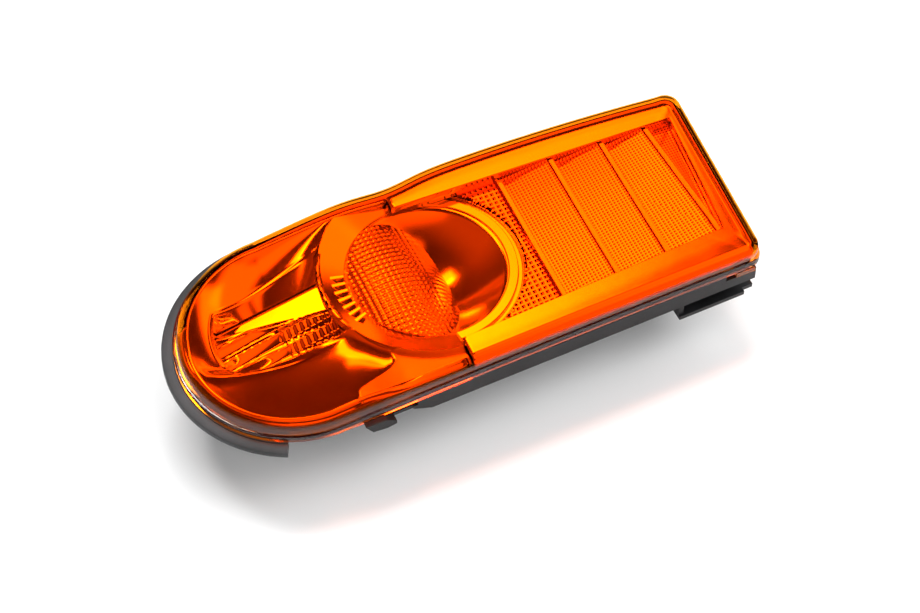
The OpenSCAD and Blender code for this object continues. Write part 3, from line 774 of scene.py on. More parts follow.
@dataclass
class OuterLens:
    """The amber lens: a crowned top, a stepped skirt and a flange."""

    lens_h: float = 11.0
    crown: float = 2.0
    wall: float = 2.2
    flange_t: float = 3.0
    foot_in: float = 1.0
    skirt_h: float = 7.5
    shoulder_w: float = 2.2
    steps: tuple[float, ...] = (0.06, 0.14, 0.24, 0.36, 0.5, 0.64, 0.78, 0.9)
    spine_x: Pair = (5.0, 150.5)
    spine_y: float = 3.0
    tab_back: float = 15.0
    tab_l: float = 9.0
    tab_w: float = 1.6
    tab_h: float = 2.6

    def drawn_in(self, ring: Sequence[Vector], t: float, floor: float) -> list[Vector]:
        """Draws a shoulder ring towards the middle line, for the crown.

        Args:
            ring: The shoulder ring.
            t: Share of the way in.
            floor: The shoulder's height.

        Returns:
            The new ring.
        """
        z = floor + self.crown * (1 - (1 - t) ** 2)
        made = []
        for p in ring:
            middle = min(max(p.x, self.spine_x[0]), self.spine_x[1])
            made.append(Vector((mix(p.x, middle, t), mix(p.y, self.spine_y, t), z)))
        return made

    def build(self) -> Piece:
        """Builds the shell, closed, with the wall's thickness.

        Returns:
            The shell. Its rows go from the inner shoulder round the flange to the outer one, each with
            its inset, its share of the round end's draft and its height.
        """
        points = OUTLINE.whole()
        wall_in = self.foot_in + self.wall
        shoulder = self.foot_in + self.shoulder_w
        ceiling = self.lens_h - self.wall
        rows = [
            (shoulder + self.wall, 1, ceiling),
            (shoulder + self.wall - 0.8, 0.95, ceiling - 0.1),
            (wall_in + 0.8, 0.75, ceiling - 0.5),
            (wall_in + 0.1, 0.4, self.skirt_h - 1.2),
            (wall_in, 0, self.flange_t),
            (wall_in, 0, 0),
            (0, 0, 0),
            (0, 0, self.flange_t - 0.5),
            (0.15, 0, self.flange_t - 0.15),
            (0.5, 0, self.flange_t),
            (self.foot_in, 0, self.flange_t),
            (self.foot_in + 0.1, 0.45, self.skirt_h),
            (self.foot_in + 0.45, 0.66, self.lens_h - 1.7),
            (self.foot_in + 0.95, 0.84, self.lens_h - 0.75),
            (self.foot_in + 1.6, 0.95, self.lens_h - 0.18),
            (shoulder, 1, self.lens_h),
        ]
        rings = [OUTLINE.ring(points, d, share * OUTLINE.end_draft, z) for d, share, z in rows]
        under = [self.drawn_in(rings[0], t, ceiling) for t in reversed(self.steps)]
        over = [self.drawn_in(rings[-1], t, self.lens_h) for t in self.steps]
        return Piece("lens_shell").loft([*under, *rings, *over]).weld()

    def wing(self) -> Piece:
        """Builds the small tab under the flange at the square end.

        Returns:
            The tab, a closed solid.
        """
        x0 = OUTLINE.body_l - self.tab_back
        y0 = OUTLINE.near_y(x0) - 0.3
        x1, y1 = x0 + self.tab_l, y0 + self.tab_w
        return Piece("lens_tab").prism([(x0, y0), (x1, y0), (x1, y1), (x0, y1)], -self.tab_h, 0.0).weld()

    def dress(self) -> None:
        """Adds the lens and its tab to the lamp."""
        self.build().done(Finishes.amber_lens, "outer_lens", crease=40)
        self.wing().done(Finishes.amber_lens, "outer_lens", round_edge=0.2)


@dataclass
class Reflector:
    """The metallised moulding: dish, marker pocket, collar, bridge, main bowl, shelf and deck.

    pocket_rows has the rings from the pocket's foot to the dish's edge, each with its growth, its share
    of the sloping wall, its share of the way up from the optic and its lift.
    """

    eye: Pair = (61.5, 9.0)
    eye_r: float = 33.0
    eye_z: float = 1.6
    bowl_d: float = 14.5
    deck_z: float = 1.0
    collar_w: float = 11.0
    collar_from: float = 93.0
    collar_turn: float = 174.0
    collar_foot: float = 4.0
    collar_gap: float = 0.3
    rim_z: float = 7.4
    rim_soft: float = 12.0
    shelf_z: float = 4.4
    shelf_x: float = 6.0
    shelf_to: float = -20.0
    shelf_under: float = 0.1
    drop_x: Pair = (10.0, 24.0)
    drop_y: float = 20.0
    seat_in: float = 5.6
    sheet_t: float = 1.4
    dish_k: float = 21.0
    near_soft: float = 15.0
    horn_x: Pair = (32.0, 46.0)
    horn_y: Pair = (-10.0, 30.0)
    horn_w: float = 8.0
    horn_back: float = 20.0
    horn_back_y: Pair = (-28.0, 11.0)
    reach_span: Pair = (5.0, 80.0)
    halvings: int = 24
    marker: Pair = (-2.0, 6.5)
    pocket_x0: float = -26.0
    pocket_l: float = 48.0
    pocket_w: float = 29.0
    pocket_bow: float = 29.58
    pocket_mid: float = 0.1
    lip_h: float = 0.3
    pocket_rows: tuple[tuple[float, float, float, float], ...] = (
        (0.0, 0.0, 0.0, -2.0),
        (0.0, 0.0, 0.0, 0.1),
        (0.1, 0.85, 0.86, 0.0),
        (0.3, 0.95, 1.0, -0.1),
        (0.6, 1.0, 1.0, 0.12),
        (0.9, 1.0, 1.0, 0.05),
        (1.3, 1.0, 1.0, 0.0),
    )
    slope: float = 13.0
    mid_z: float = -2.9
    wall_run: Pair = (1.5, 10.5)
    bulb_hole: float = 9.5
    bulb_at: Pair = (44.0, 6.0)
    rays: int = 240
    dish_steps: int = 30
    bowl_rays: int = 144
    bowl_steps: int = 20
    frame_x0: float = 59.0
    wall_gap: float = 0.5
    wall_pole: float = 60.0
    wall_foot: float = 0.1
    ring_w: float = 3.8
    ring2_w: float = 7.3
    ring_out: float = 1.6
    deck_from: float = 20.0
    deck_to: float = 9.0
    deck_in: float = 8.5
    deck_under: float = 0.2
    bridge_ribs: int = 7
    rib_h: float = 3.4

    @property
    def collar_r(self) -> float:
        """Radius of the collar's outer edge."""
        return self.eye_r + self.collar_w

    @property
    def ring2_r(self) -> float:
        """Radius of the second ridge round the eye."""
        return self.eye_r + self.ring2_w

    def bowl_z(self, r: float) -> float:
        """Height of the main bowl at radius r from the eye's centre."""
        return self.deck_z - self.bowl_d + self.bowl_d * (r / self.eye_r) ** 2

    def optic_z(self, x: float) -> float:
        """Height of the marker optic's ridges at x."""
        return self.mid_z + (x - self.marker[0]) * math.tan(math.radians(self.slope))

    def horn(self, y: float) -> float:
        """Where the dish ends along the lamp, at y."""
        far = mix(*self.horn_x, ease((y - self.horn_y[0]) / self.horn_y[1]))
        return far - self.horn_back * ease((self.horn_back_y[0] - y) / self.horn_back_y[1])

    def edges(self, x: float, y: float) -> Triple:
        """How far a point lies within the dish, from 0 at each of its edges.

        Args:
            x: The point's place along the lamp.
            y: Its place across the lamp.

        Returns:
            The measures inside the rim, outside the collar and short of the horn.
        """
        power = 2 - ease(-y / self.rim_soft)
        if x < 0:
            in_rim = 1 - (math.hypot(x, y) / (OUTLINE.end_r - self.seat_in)) ** power
        elif y < 0:
            in_rim = 1 - abs(y / (OUTLINE.near_y(x) + self.seat_in)) ** power
        else:
            in_rim = 1 - (y / (OUTLINE.far_y(x) - self.seat_in)) ** 2
        away = (x - self.eye[0]) ** 2 + (y - self.eye[1]) ** 2
        off_collar = away / (self.collar_r + self.collar_gap) ** 2 - 1
        return in_rim, off_collar, (self.horn(y) - x) / self.horn_w

    def edge_z(self, x: float, y: float) -> float:
        """Height of the dish's edge and of the shelf beside it at a point."""
        along = ease((x - self.drop_x[0]) / self.drop_x[1])
        return self.rim_z - (self.rim_z - self.shelf_z) * along * ease(-y / self.drop_y)

    def dish_z(self, x: float, y: float) -> float:
        """Height of the dish at a point."""
        near = [1 / max(v, 1e-4) for v in self.edges(x, y)]
        return self.edge_z(x, y) - self.dish_k / (sum(near) + near[0] * ease(-y / self.near_soft))

    def lip_z(self, x: float, y: float) -> float:
        """Height of the pocket's lip at a point."""
        return max(self.dish_z(x, y), self.optic_z(x) + self.lip_h)

    def reach(self, a: float) -> float:
        """Distance from the marker's centre to the dish's edge.

        Args:
            a: The direction.

        Returns:
            The distance, found by halving.
        """
        low, high = self.reach_span
        for _ in range(self.halvings):
            middle = (low + high) / 2
            if min(self.edges(*polar(self.marker, middle, a))) > 0:
                low = middle
            else:
                high = middle
        return low

    def pocket(self, a: float, grow: float, run: float) -> float:
        """Distance from the marker's centre to the pocket's outline.

        Args:
            a: The direction.
            grow: How far the whole outline is moved out.
            run: Share of the sloping far wall that is passed, from 0 at its foot to 1 at its top.

        Returns:
            The distance to the nearest of the end, the two walls and the dish's edge.
        """
        c, s = math.cos(a), math.sin(a)
        half = self.pocket_w / 2 + grow
        found = [self.reach(a)]
        if s < 0:
            found.append(half / -s)
        low, high = (w * run for w in self.wall_run)
        flare = (high - low) / (self.pocket_l - 5)
        if s - flare * c > 0:
            found.append((half + low + flare * (self.marker[0] - self.pocket_x0)) / (s - flare * c))
        if c < 0:
            r = self.pocket_bow + grow
            ox = self.marker[0] - self.pocket_mid
            b = ox * c
            found.append(-b + math.sqrt(max(b * b - ox * ox + r * r, 0)))
        return min(found)

    def pocket_ring(self, grow: float, run: float, share: float, lift: float) -> list[Vector]:
        """Makes a ring round the pocket.

        Args:
            grow: How far the whole outline is moved out.
            run: Share of the sloping far wall that is passed.
            share: Share of the way up from the optic to the lip.
            lift: Height over that.

        Returns:
            The ring.
        """
        ring = []
        for i in range(self.rays):
            a = 2 * math.pi * i / self.rays
            x, y = polar(self.marker, self.pocket(a, grow, run), a)
            ring.append(Vector((x, y, mix(self.optic_z(x), self.lip_z(x, y), share) + lift)))
        return ring

    def dish(self) -> Piece:
        """Builds the dish from the pocket's edge to the rim, with the pocket's bright edge and walls.

        Returns:
            The dish, one open sheet.
        """
        rings = [self.pocket_ring(*row) for row in self.pocket_rows]
        outer = rings[-1]
        for k in range(1, self.dish_steps + 1):
            t = k / self.dish_steps
            ring = []
            for i, p in enumerate(outer):
                a = 2 * math.pi * i / self.rays
                ex, ey = polar(self.marker, max(self.reach(a), 0.01), a)
                x, y = mix(p.x, ex, t), mix(p.y, ey, t)
                ring.append(Vector((x, y, mix(p.z, self.dish_z(x, y), ease(t / 0.1)))))
            rings.append(ring)
        return Piece("reflector_dish").loft(rings, caps=False).face_up()

    def collar_out(self, a: float) -> float:
        """Outer radius of the collar, held inside the rim.

        Args:
            a: The direction.

        Returns:
            The radius.
        """
        r = self.collar_r
        while r > self.eye_r:
            x, y = polar(self.eye, r, a)
            if OUTLINE.near_y(x) + self.seat_in < y < OUTLINE.far_y(x) - self.seat_in:
                break
            r -= 0.05
        return r

    def collar(self) -> Piece:
        """Builds the sloping collar on the round end's side of the eye.

        Returns:
            The collar, one open sheet.
        """
        start, turn = math.radians(self.collar_from), math.radians(self.collar_turn)

        def shape(u: float, v: float) -> Vector:
            """Places a point.

            Args:
                u: Share of the way round the eye.
                v: Share of the way out; the last fifth is the foot.

            Returns:
                The point.
            """
            a = start + turn * u
            r = mix(self.eye_r, self.collar_out(a), min(v / 0.8, 1.0))
            z = mix(self.eye_z, self.rim_z, (r - self.eye_r) / self.collar_w)
            return Vector((*polar(self.eye, r, a), z - self.collar_foot * max(v - 0.8, 0) / 0.2))

        return Piece("reflector_collar").sheet(160, 20, shape).face_up()

    def bowl(self) -> Piece:
        """Builds the main bowl from the bulb's hole to the eye.

        Returns:
            The bowl, one open sheet.
        """
        rings = []
        for k in range(self.bowl_steps + 1):
            ring = []
            for i in range(self.bowl_rays):
                a = 2 * math.pi * i / self.bowl_rays
                hole, edge = polar(self.bulb_at, self.bulb_hole, a), polar(self.eye, self.eye_r, a)
                x, y = (mix(h, e, k / self.bowl_steps) for h, e in zip(hole, edge))
                ring.append(Vector((x, y, self.bowl_z(math.hypot(x - self.eye[0], y - self.eye[1])))))
            rings.append(ring)
        return Piece("reflector_bowl").loft(rings, caps=False).face_up()

    def ridges(self) -> Piece:
        """Builds the bright ring, the groove and the second ridge round the eye.

        Returns:
            The ridges, cut short of the far rim.
        """
        r0, r1, r2, z = self.eye_r, self.eye_r + self.ring_w, self.ring2_r, self.eye_z
        ring = [(r0, z - 0.9), (r0, z - 0.3), (r0 + 0.3, z), (r1 - 0.3, z), (r1, z - 0.3),
                (r1 + 0.2, z - 1.4)]
        second = [(r2 - 2.0, z - 1.4), (r2 - 1.8, z - 0.6), (r2 - 1.5, z - 0.3), (r2 - 0.5, z - 0.3),
                  (r2, z - 0.6), (r2 + 0.1, z - 2.4)]
        inside = self.seat_in + self.ring_out
        piece = Piece("reflector_ridges").spin([*ring, *second], self.eye, 192).face_up()
        return piece.cut(lambda m: m.y > OUTLINE.far_y(m.x) - inside)

    def bridge(self) -> Piece:
        """Builds the short ribs where the pocket meets the collar.

        Returns:
            The ribs, a closed solid each.
        """
        piece = Piece("reflector_ribs")
        half = math.degrees(math.asin(self.pocket_w / 2 / (self.collar_r - 2)))
        middle = 180 + math.degrees(math.asin((self.eye[1] - self.marker[1]) / self.collar_r))
        r0, r1 = self.eye_r + 0.8, self.collar_r - 1.0
        for i in range(self.bridge_ribs):
            a = math.radians(middle - half + 2 * half * (i + 0.5) / self.bridge_ribs)
            corners = []
            for r, w in ((r0, -0.7), (r1, -1.0), (r1, 1.0), (r0, 0.7)):
                x, y = polar(self.eye, r, a)
                corners.append((x - w * math.sin(a), y + w * math.cos(a)))
            piece.prism(corners, self.eye_z, self.eye_z + self.rib_h)
        return piece.weld()

    def shelf(self) -> Piece:
        """Builds the shelf on the near side, between the dish, the collar and the rim.

        Returns:
            The shelf, one open sheet.
        """
        def shape(u: float, v: float) -> Vector:
            """Places a point.

            Args:
                u: Share of the way along the lamp.
                v: Share of the way in from the rim.

            Returns:
                The point, just under the dish's own height.
            """
            x = mix(self.shelf_x, self.frame_x0 - 0.3, u)
            y = mix(OUTLINE.near_y(x) + self.seat_in, self.shelf_to, v)
            return Vector((x, y, self.dish_z(x, y) - self.shelf_under))

        def hidden(m: Vector) -> bool:
            """Whether a face lies under the dish or the collar."""
            in_rim, off_collar, off_horn = self.edges(m.x, m.y)
            return min(in_rim, off_horn) > 0.004 or off_collar < -0.1

        return Piece("reflector_shelf").sheet(150, 60, shape).cut(hidden).face_up()

    def rim_wall(self) -> Piece:
        """Builds the low wall that carries the rim round the round end.

        Returns:
            The wall, one open sheet.
        """
        keep = [p for p in OUTLINE.whole() if p.x < self.frame_x0 - self.wall_gap]
        last = len(keep) - 1
        order = sorted(keep, key=lambda p: math.atan2(p.y, -(p.x - self.wall_pole)))

        def shape(u: float, v: float) -> Vector:
            """Places a point.

            Args:
                u: Share of the way round the end.
                v: Share of the way up.

            Returns:
                The point.
            """
            x, y = order[min(int(round(u * last)), last)].inset(self.seat_in - 0.02, OUTLINE.corner_min)
            return Vector((x, y, mix(self.wall_foot, self.edge_z(x, y), v)))

        return Piece("reflector_rim").sheet(last, 3, shape).weld()

    def deck(self) -> Piece:
        """Builds the plain deck under the reflex insert.

        Returns:
            The deck, one open sheet.
        """
        def shape(u: float, v: float) -> Vector:
            """Places a point.

            Args:
                u: Share of the way along the lamp.
                v: Share of the way across.

            Returns:
                The point.
            """
            x = mix(self.frame_x0 + self.deck_from, OUTLINE.body_l - self.deck_to, u)
            low, high = OUTLINE.near_y(x) + self.deck_in, OUTLINE.far_y(x) - self.deck_in
            return Vector((x, mix(low, high, v), self.deck_z - self.deck_under))

        sheet = Piece("reflector_deck").sheet(60, 40, shape)
        return sheet.cut(lambda m: (m.xy - Vector(self.eye)).length < self.ring2_r).face_up()

    def dress(self) -> None:
        """Adds every part of the reflector to the lamp."""
        for piece in (self.dish(), self.collar(), self.bowl(), self.deck()):
            piece.done(Finishes.bright_metal, "reflector", wall=self.sheet_t)
        # The shelf gets the darker metal, painted shade on the same moulding.
        self.shelf().done(Finishes.satin_shaded_metal, "reflector", wall=self.sheet_t)
        self.ridges().done(Finishes.bright_metal, "reflector", wall=0.8)
        self.bridge().done(Finishes.bright_metal, "reflector", round_edge=0.2)
        self.rim_wall().done(Finishes.bright_metal, "reflector", wall=1.0)


@dataclass
class BezelFrame:
    """The U-shaped metallised frame round the reflex area."""

    x0: float = 59.0
    top_z: float = 7.4
    edge_in: float = 6.4
    window_x: Pair = (178.2, 184.0)
    near: Pair = (-31.0, -24.0)
    far: Pair = (39.5, 36.5)
    floor_z: float = 2.0

    def right(self, y: float) -> float:
        """Where the window ends at y."""
        return mix(*self.window_x, (y - self.near[1]) / (self.far[1] - self.near[1]))

    def window(self, x: float, y: float) -> Pair:
        """Finds the window's edge beside a point of the outline.

        Args:
            x: The point's place along the lamp.
            y: Its place across the lamp.

        Returns:
            The edge's point.
        """
        t = (x - self.x0) / (self.right(y) - self.x0)
        inside = min(max(y, mix(*self.near, t)), mix(*self.far, t))
        return min(max(x, self.x0), self.right(inside)), inside

    def build(self) -> Piece:
        """Builds the frame in rows from its outer foot over the top to the window's inner foot.

        Returns:
            The frame, one open sheet.
        """
        points = OUTLINE.square_part(self.x0, 70)
        last = len(points) - 1
        top = self.top_z
        outer = [(3.6, 0.3), (3.8, 5.4), (4.4, top - 0.6), (5.2, top - 0.12), (self.edge_in, top)]
        inner = [(0.5, top), (0.96, top), (1.0, top - 0.35), (1.0, 5.0), (1.0, self.floor_z)]
        rows = len(outer) + len(inner) - 1

        def shape(u: float, v: float) -> Vector:
            """Places a point.

            Args:
                u: Share of the way round the outline.
                v: Share of the way over the rows: insets at first, then shares of the way to the window.

            Returns:
                The point.
            """
            point = points[int(round(u * last))]
            k = int(round(v * rows))
            if k < len(outer):
                inset, z = outer[k]
                return Vector((*point.inset(inset, OUTLINE.corner_min), z))
            share, z = inner[k - len(outer)]
            edge = point.inset(self.edge_in + 0.6, OUTLINE.corner_min)
            x, y = (mix(e, w, share) for e, w in zip(edge, self.window(*edge)))
            return Vector((x, y, z))

        return Piece("bezel_top").sheet(last, rows, shape).face_up()

    def dress(self) -> None:
        """Adds the frame to the lamp."""
        self.build().done(Finishes.bright_metal, "bezel_frame", wall=0.8, crease=30)


@dataclass
class ReflexInsert:
    """The reflex moulding: coarse pyramids, ribs and louvred panels of fine prisms."""

    x0: float = 62.0
    frame_x0: float = 59.0
    x1: Pair = (178.3, 184.1)
    near: Pair = (-31.0, -24.0)
    far: Pair = (40.1, 37.1)
    base_z: float = 2.2
    rise: float = 3.6
    rib_w: float = 2.2
    ribs: tuple[float, ...] = (106.0, 129.5, 152.5, 174.5)
    lean: float = 0.066
    lean_x: Pair = (150.0, 20.0)
    lean_y: float = 7.0
    fine: float = 1.5
    coarse: float = 2.4
    peak_h: float = 0.42
    strip_h: float = 0.5
    last_h: float = 0.6
    sink: float = 0.2
    rib_side: Pair = (0.4, 1.0)
    rib_foot: float = 0.8
    under_first: float = 1.4
    under_rest: float = 0.3
    first_rib: float = 1.6
    rib_over: float = 0.25
    ring_reach: float = 1.5
    ring_cut: float = 0.7
    eye: Pair = (61.5, 9.0)
    clear_r: float = 40.4

    def end(self, y: float) -> float:
        """Where the last field ends at y."""
        return mix(*self.x1, min(max((y - self.near[1]) / (self.far[1] - self.near[1]), 0.0), 1.0))

    def sides(self, x: float) -> Pair:
        """Where the area's near and far sides lie at x."""
        t = (x - self.frame_x0) / (self.x1[0] - self.frame_x0)
        return mix(*self.near, t), mix(*self.far, t)

    def shear(self, x: float, y: float) -> float:
        """How far the ribs and panels lean back at a point."""
        return self.lean * (y - self.lean_y) * ease((x - self.lean_x[0]) / self.lean_x[1])

    def panel(self, x: float) -> Pair:
        """Finds the panel at x.

        Args:
            x: The place along the lamp.

        Returns:
            The panel's number, and how far along it x lies, from 0 to 1; on a rib that is 2.
        """
        starts = (self.x0, *(r + self.rib_w / 2 for r in self.ribs))
        ends = (*(r - self.rib_w / 2 for r in self.ribs), self.x1[1])
        for i, (a, b) in enumerate(zip(starts, ends)):
            if x < b:
                return i, (x - a) / (b - a) if x >= a else 2.0
        return len(self.ribs), 1.0

    def height(self, x: float, y: float, peak: bool) -> float:
        """Height of the insert at a point.

        Args:
            x: The point's place along the lamp.
            y: Its place across the lamp.
            peak: Whether a pyramid's peak stands there.

        Returns:
            The height.
        """
        i, t = self.panel(x)
        raised = self.peak_h if peak else 0.0
        if t > 1.5:
            return self.base_z + (self.under_first if i == 1 else self.rise + self.under_rest)
        if i == 0:
            return self.base_z + raised
        if i == len(self.ribs):
            return self.base_z + self.last_h + raised
        return self.base_z - self.sink + self.rise * t + raised

    def field(self, name: str, xa: float, xb: float, pitch: float) -> Piece:
        """Builds one field of square pyramids between two places along the lamp.

        Args:
            name: The piece's name.
            xa: Where the field starts.
            xb: Where it ends.
            pitch: The pyramids' pitch.

        Returns:
            The field, one open sheet with a peak in the middle of each pitch.
        """
        nx = 3 * max(1, round((xb - xa) / pitch))
        ny = 3 * round((self.far[0] - self.near[0]) / pitch)

        def shape(u: float, v: float) -> Vector:
            """Places a point; those next to the eye's ring go onto its circle.

            Args:
                u: Share of the way along the field.
                v: Share of the way across it.

            Returns:
                The point.
            """
            i, j = round(u * nx), round(v * ny)
            x = mix(xa, xb, u)
            y = mix(*self.sides(x), v)
            z = self.height(x, y, i % 3 == 1 and j % 3 == 1)
            if xa > self.x0 and not 1 < j < ny - 1:
                z += self.strip_h
            right = self.end(y) if xb > self.x1[1] else xb - self.shear(xb, y)
            x = mix(xa - self.shear(xa, y), right, u)
            away = math.hypot(x - self.eye[0], y - self.eye[1])
            if self.clear_r - self.ring_reach < away < self.clear_r:
                x, y = (mix(e, c, self.clear_r / away) for e, c in zip(self.eye, (x, y)))
            return Vector((x, y, z))

        def inside(m: Vector) -> bool:
            """Whether a face lies over the eye."""
            return math.hypot(*(m.xy - Vector(self.eye))) < self.clear_r - self.ring_cut

        return Piece(name).sheet(nx, ny, shape).cut(inside).face_up()

    def bars(self) -> Piece:
        """Builds the smooth ribs between the panels.

        Returns:
            The ribs, a closed solid each.
        """
        piece = Piece("reflex_ribs")
        w = self.rib_w / 2
        for k, r in enumerate(self.ribs):
            near, far = self.sides(r)
            low, high = near + self.rib_side[0], far - self.rib_side[1]
            foot, head = self.shear(r, low), self.shear(r, high)
            top = self.base_z + (self.rise + self.rib_over if k else self.first_rib)
            corners = [(r - w - foot, low), (r + w - foot, low), (r + w - head, high), (r - w - head, high)]
            piece.prism(corners, self.base_z - self.rib_foot, top)
        return piece.weld()

    def dress(self) -> None:
        """Adds the fields and the ribs to the lamp."""
        edges = (self.x0, *self.ribs, self.x1[1] + 2.0)
        for k, (a, b) in enumerate(zip(edges, edges[1:])):
            start = a + (self.rib_w / 2 if k else 0.0)
            end = b - (self.rib_w / 2 if k < len(self.ribs) else 0.0)
            piece = self.field(f"reflex_field_{k + 1}", start, end, self.fine if k else self.coarse)
            piece.done(Finishes.reflex_face, "reflex_insert", crease=5)
        self.bars().done(Finishes.reflex_rib, "reflex_insert", round_edge=0.25)


@dataclass
class InnerLens:
    """The barrel-shaped pillow lens over the turn bulb."""

    eye: Pair = (61.5, 9.0)
    clip_r: float = 32.8
    centre: Pair = (44.0, 6.0)
    top: float = 4.2
    radius: float = 28.5
    sweep: float = 185.0
    pitch: float = 2.4
    pillow: float = 0.36
    flat_from: Pair = (17.0, 5.0)
    clip_share: float = 0.999
    turn_down: float = 0.985

    def height(self, x: float, y: float) -> float:
        """Height of the barrel, without its pillows.

        Args:
            x: Place along the lamp.
            y: Place across the lamp.

        Returns:
            The height.
        """
        dx, dy = min(abs(x - self.centre[0]), self.radius - 0.01), y - self.centre[1]
        drop = self.radius - math.sqrt(self.radius**2 - dx * dx)
        return self.top - drop - dy * dy / (2 * self.sweep)

    def wave(self, s: float) -> float:
        """Share of a pillow's height at the distance s from the barrel's middle."""
        return abs(math.sin(math.pi * s / self.pitch))

    def pillows(self, x: float, y: float) -> float:
        """Height of the pillow relief, with plain rolls on the right side.

        Args:
            x: Place along the lamp.
            y: Place across the lamp.

        Returns:
            The height.
        """
        dx, dy = x - self.centre[0], y - self.centre[1]
        fade = 1 - ease((dx - self.flat_from[0]) / self.flat_from[1])
        return self.pillow * self.wave(dy) ** 0.8 * (1 - fade + fade * self.wave(dx) ** 0.8)

    def build(self) -> Piece:
        """Builds the lens as a grid between the eye's edge and the place where the barrel turns down.

        Returns:
            The lens, one open sheet.
        """
        def shape(u: float, v: float) -> Vector:
            """Places a point.

            Args:
                u: Share of the way along the lens.
                v: Share of the way across it.

            Returns:
                The point.
            """
            swing = math.sin(mix(-math.pi / 2, math.pi / 2, v))
            y = self.eye[1] + self.clip_r * swing * self.clip_share
            half = math.sqrt(max(self.clip_r**2 - (y - self.eye[1]) ** 2, 0))
            left = self.eye[0] - half
            right = min(self.eye[0] + half, self.centre[0] + self.radius * self.turn_down)
            x = mix(left, max(right, left), u)
            return Vector((x, y, self.height(x, y) + self.pillows(x, y)))

        return Piece("pillow_lens").sheet(150, 240, shape).face_up()

    def dress(self) -> None:
        """Adds the lens to the lamp."""
        self.build().done(Finishes.clear_optic, "inner_lens", wall=1.6, crease=180)


@dataclass
class MarkerOptic:
    """The fluted insert in the marker pocket."""

    reflector: Reflector = field(default_factory=Reflector)
    flutes: int = 5
    depth: float = 3.2
    sway: float = 0.22
    flat: float = 0.93
    bow: float = 1.3
    taper: float = 0.6
    smooth_from: Pair = (0.45, 0.4)
    step_h: float = 0.3
    step_pitch: float = 2.2
    seat_d: float = 1.6

    def relief(self, u: float, v: float, x: float) -> float:
        """Height of the flutes and of the finer steps over the seat.

        Args:
            u: Share of the way along the optic.
            v: Share of the way across it.
            x: Place along the lamp.

        Returns:
            The height.
        """
        taper = 1 - self.taper * ease((u - 0.1) / 0.8)
        smooth = ease((v - self.smooth_from[0] - self.smooth_from[1] * (1 - u)) / 0.12)
        turn = (v * self.flutes + self.sway * math.sin(5.1 * v + 2.0 * u)) % 1
        groove = min(1 - abs(2 * turn - 1), self.flat) ** self.bow
        step = self.step_h * math.sin(x * self.step_pitch) * ease((u - 0.5) / 0.1)
        return (self.depth * groove * taper + step * taper) * (1 - smooth)

    def build(self) -> Piece:
        """Builds the fluted face, with finer steps across its right half.

        Returns:
            The face, one open sheet.
        """
        r = self.reflector
        half = r.pocket_w / 2

        def shape(u: float, v: float) -> Vector:
            """Places a point.

            Args:
                u: Share of the way along the optic.
                v: Share of the way across it.

            Returns:
                The point.
            """
            y = r.marker[1] + mix(-half, half, v)
            left = r.pocket_mid - math.sqrt(r.pocket_bow**2 - (y - r.marker[1]) ** 2)
            right = r.eye[0] - math.sqrt((r.collar_r + r.collar_gap) ** 2 - (y - r.eye[1]) ** 2)
            x = mix(left, right, u)
            return Vector((x, y, r.optic_z(x) - self.seat_d + self.relief(u, v, x)))

        return Piece("marker_face").sheet(160, 120, shape).face_up()

    def dress(self) -> None:
        """Adds the optic to the lamp."""
        self.build().done(Finishes.flute_metal, "marker_optic", wall=1.2, crease=35)


@dataclass
class EdgeSeal:
    """The rubber crescent under the round end's flange."""

    inner_r: float = 46.7
    outer_r: float = 52.8
    depth: float = 3.8
    start: float = 88.0
    end: float = 245.5

    def build(self) -> Piece:
        """Builds the crescent, closed at both ends.

        Returns:
            The crescent.
        """
        a, b, h = self.inner_r, self.outer_r, self.depth
        lip = [(a, -0.02), (a + 1.6, -0.02), (a + 1.75, -0.6), (b - 1.0, -1.0), (b - 0.35, -1.3),
               (b - 0.05, -1.9)]
        foot = [(b - 0.02, -h + 0.5), (b - 0.4, -h + 0.05), (a + 1.0, -h), (a, -h + 2), (a, -0.02)]
        piece = Piece("seal_crescent")
        piece.spin([*lip, *foot], (0, 0), 120, self.start, self.end - self.start).weld()
        bmesh.ops.holes_fill(piece.mesh, edges=piece.mesh.edges)
        bmesh.ops.recalc_face_normals(piece.mesh, faces=piece.mesh.faces)
        return piece

    def dress(self) -> None:
        """Adds the crescent to the lamp."""
        self.build().done(Finishes.grey_rubber, "edge_seal", crease=35)


@dataclass
class PlainParts:
    """The CAD pieces that keep their own meshes and get a finish."""

    finishes: dict[str, Finish] = field(default_factory=lambda: {
        "rear_housing": Finishes.black_tub,
        "lens_bead": Finishes.sealant,
        "turn_bulb": Finishes.bulb_glass,
        "marker_bulb": Finishes.bulb_glass,
        "turn_socket": Finishes.black_tub,
        "marker_socket": Finishes.black_tub,
        "turn_gasket": Finishes.red_silicone,
        "marker_gasket": Finishes.red_silicone,
        "turn_contacts": Finishes.brass,
        "marker_contacts": Finishes.brass,
        "vent_cap": Finishes.black_rail,
        "mounting_rail": Finishes.black_rail,
        "rail_screws": Finishes.zinc,
        "reflector_screws": Finishes.zinc,
        "boss_inserts": Finishes.brass,
    })
    rounded: tuple[str, ...] = ("mounting_rail", "turn_socket", "marker_socket", "vent_cap")
    edge_w: float = 0.3
    merge: float = 0.01

    def dress(self) -> None:
        """Gives each CAD piece its finish, and softens the edges of the mouldings."""
        for name, finish in self.finishes.items():
            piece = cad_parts[name]
            piece.data.materials.clear()
            piece.data.materials.append(Finishes.get(finish))
            weld = piece.modifiers.new("weld", "WELD")
            weld.merge_threshold = self.merge / MM_PER_M
            if name in self.rounded:
                soften(piece, self.edge_w, 30)
            log.info("%s: dressed", name)


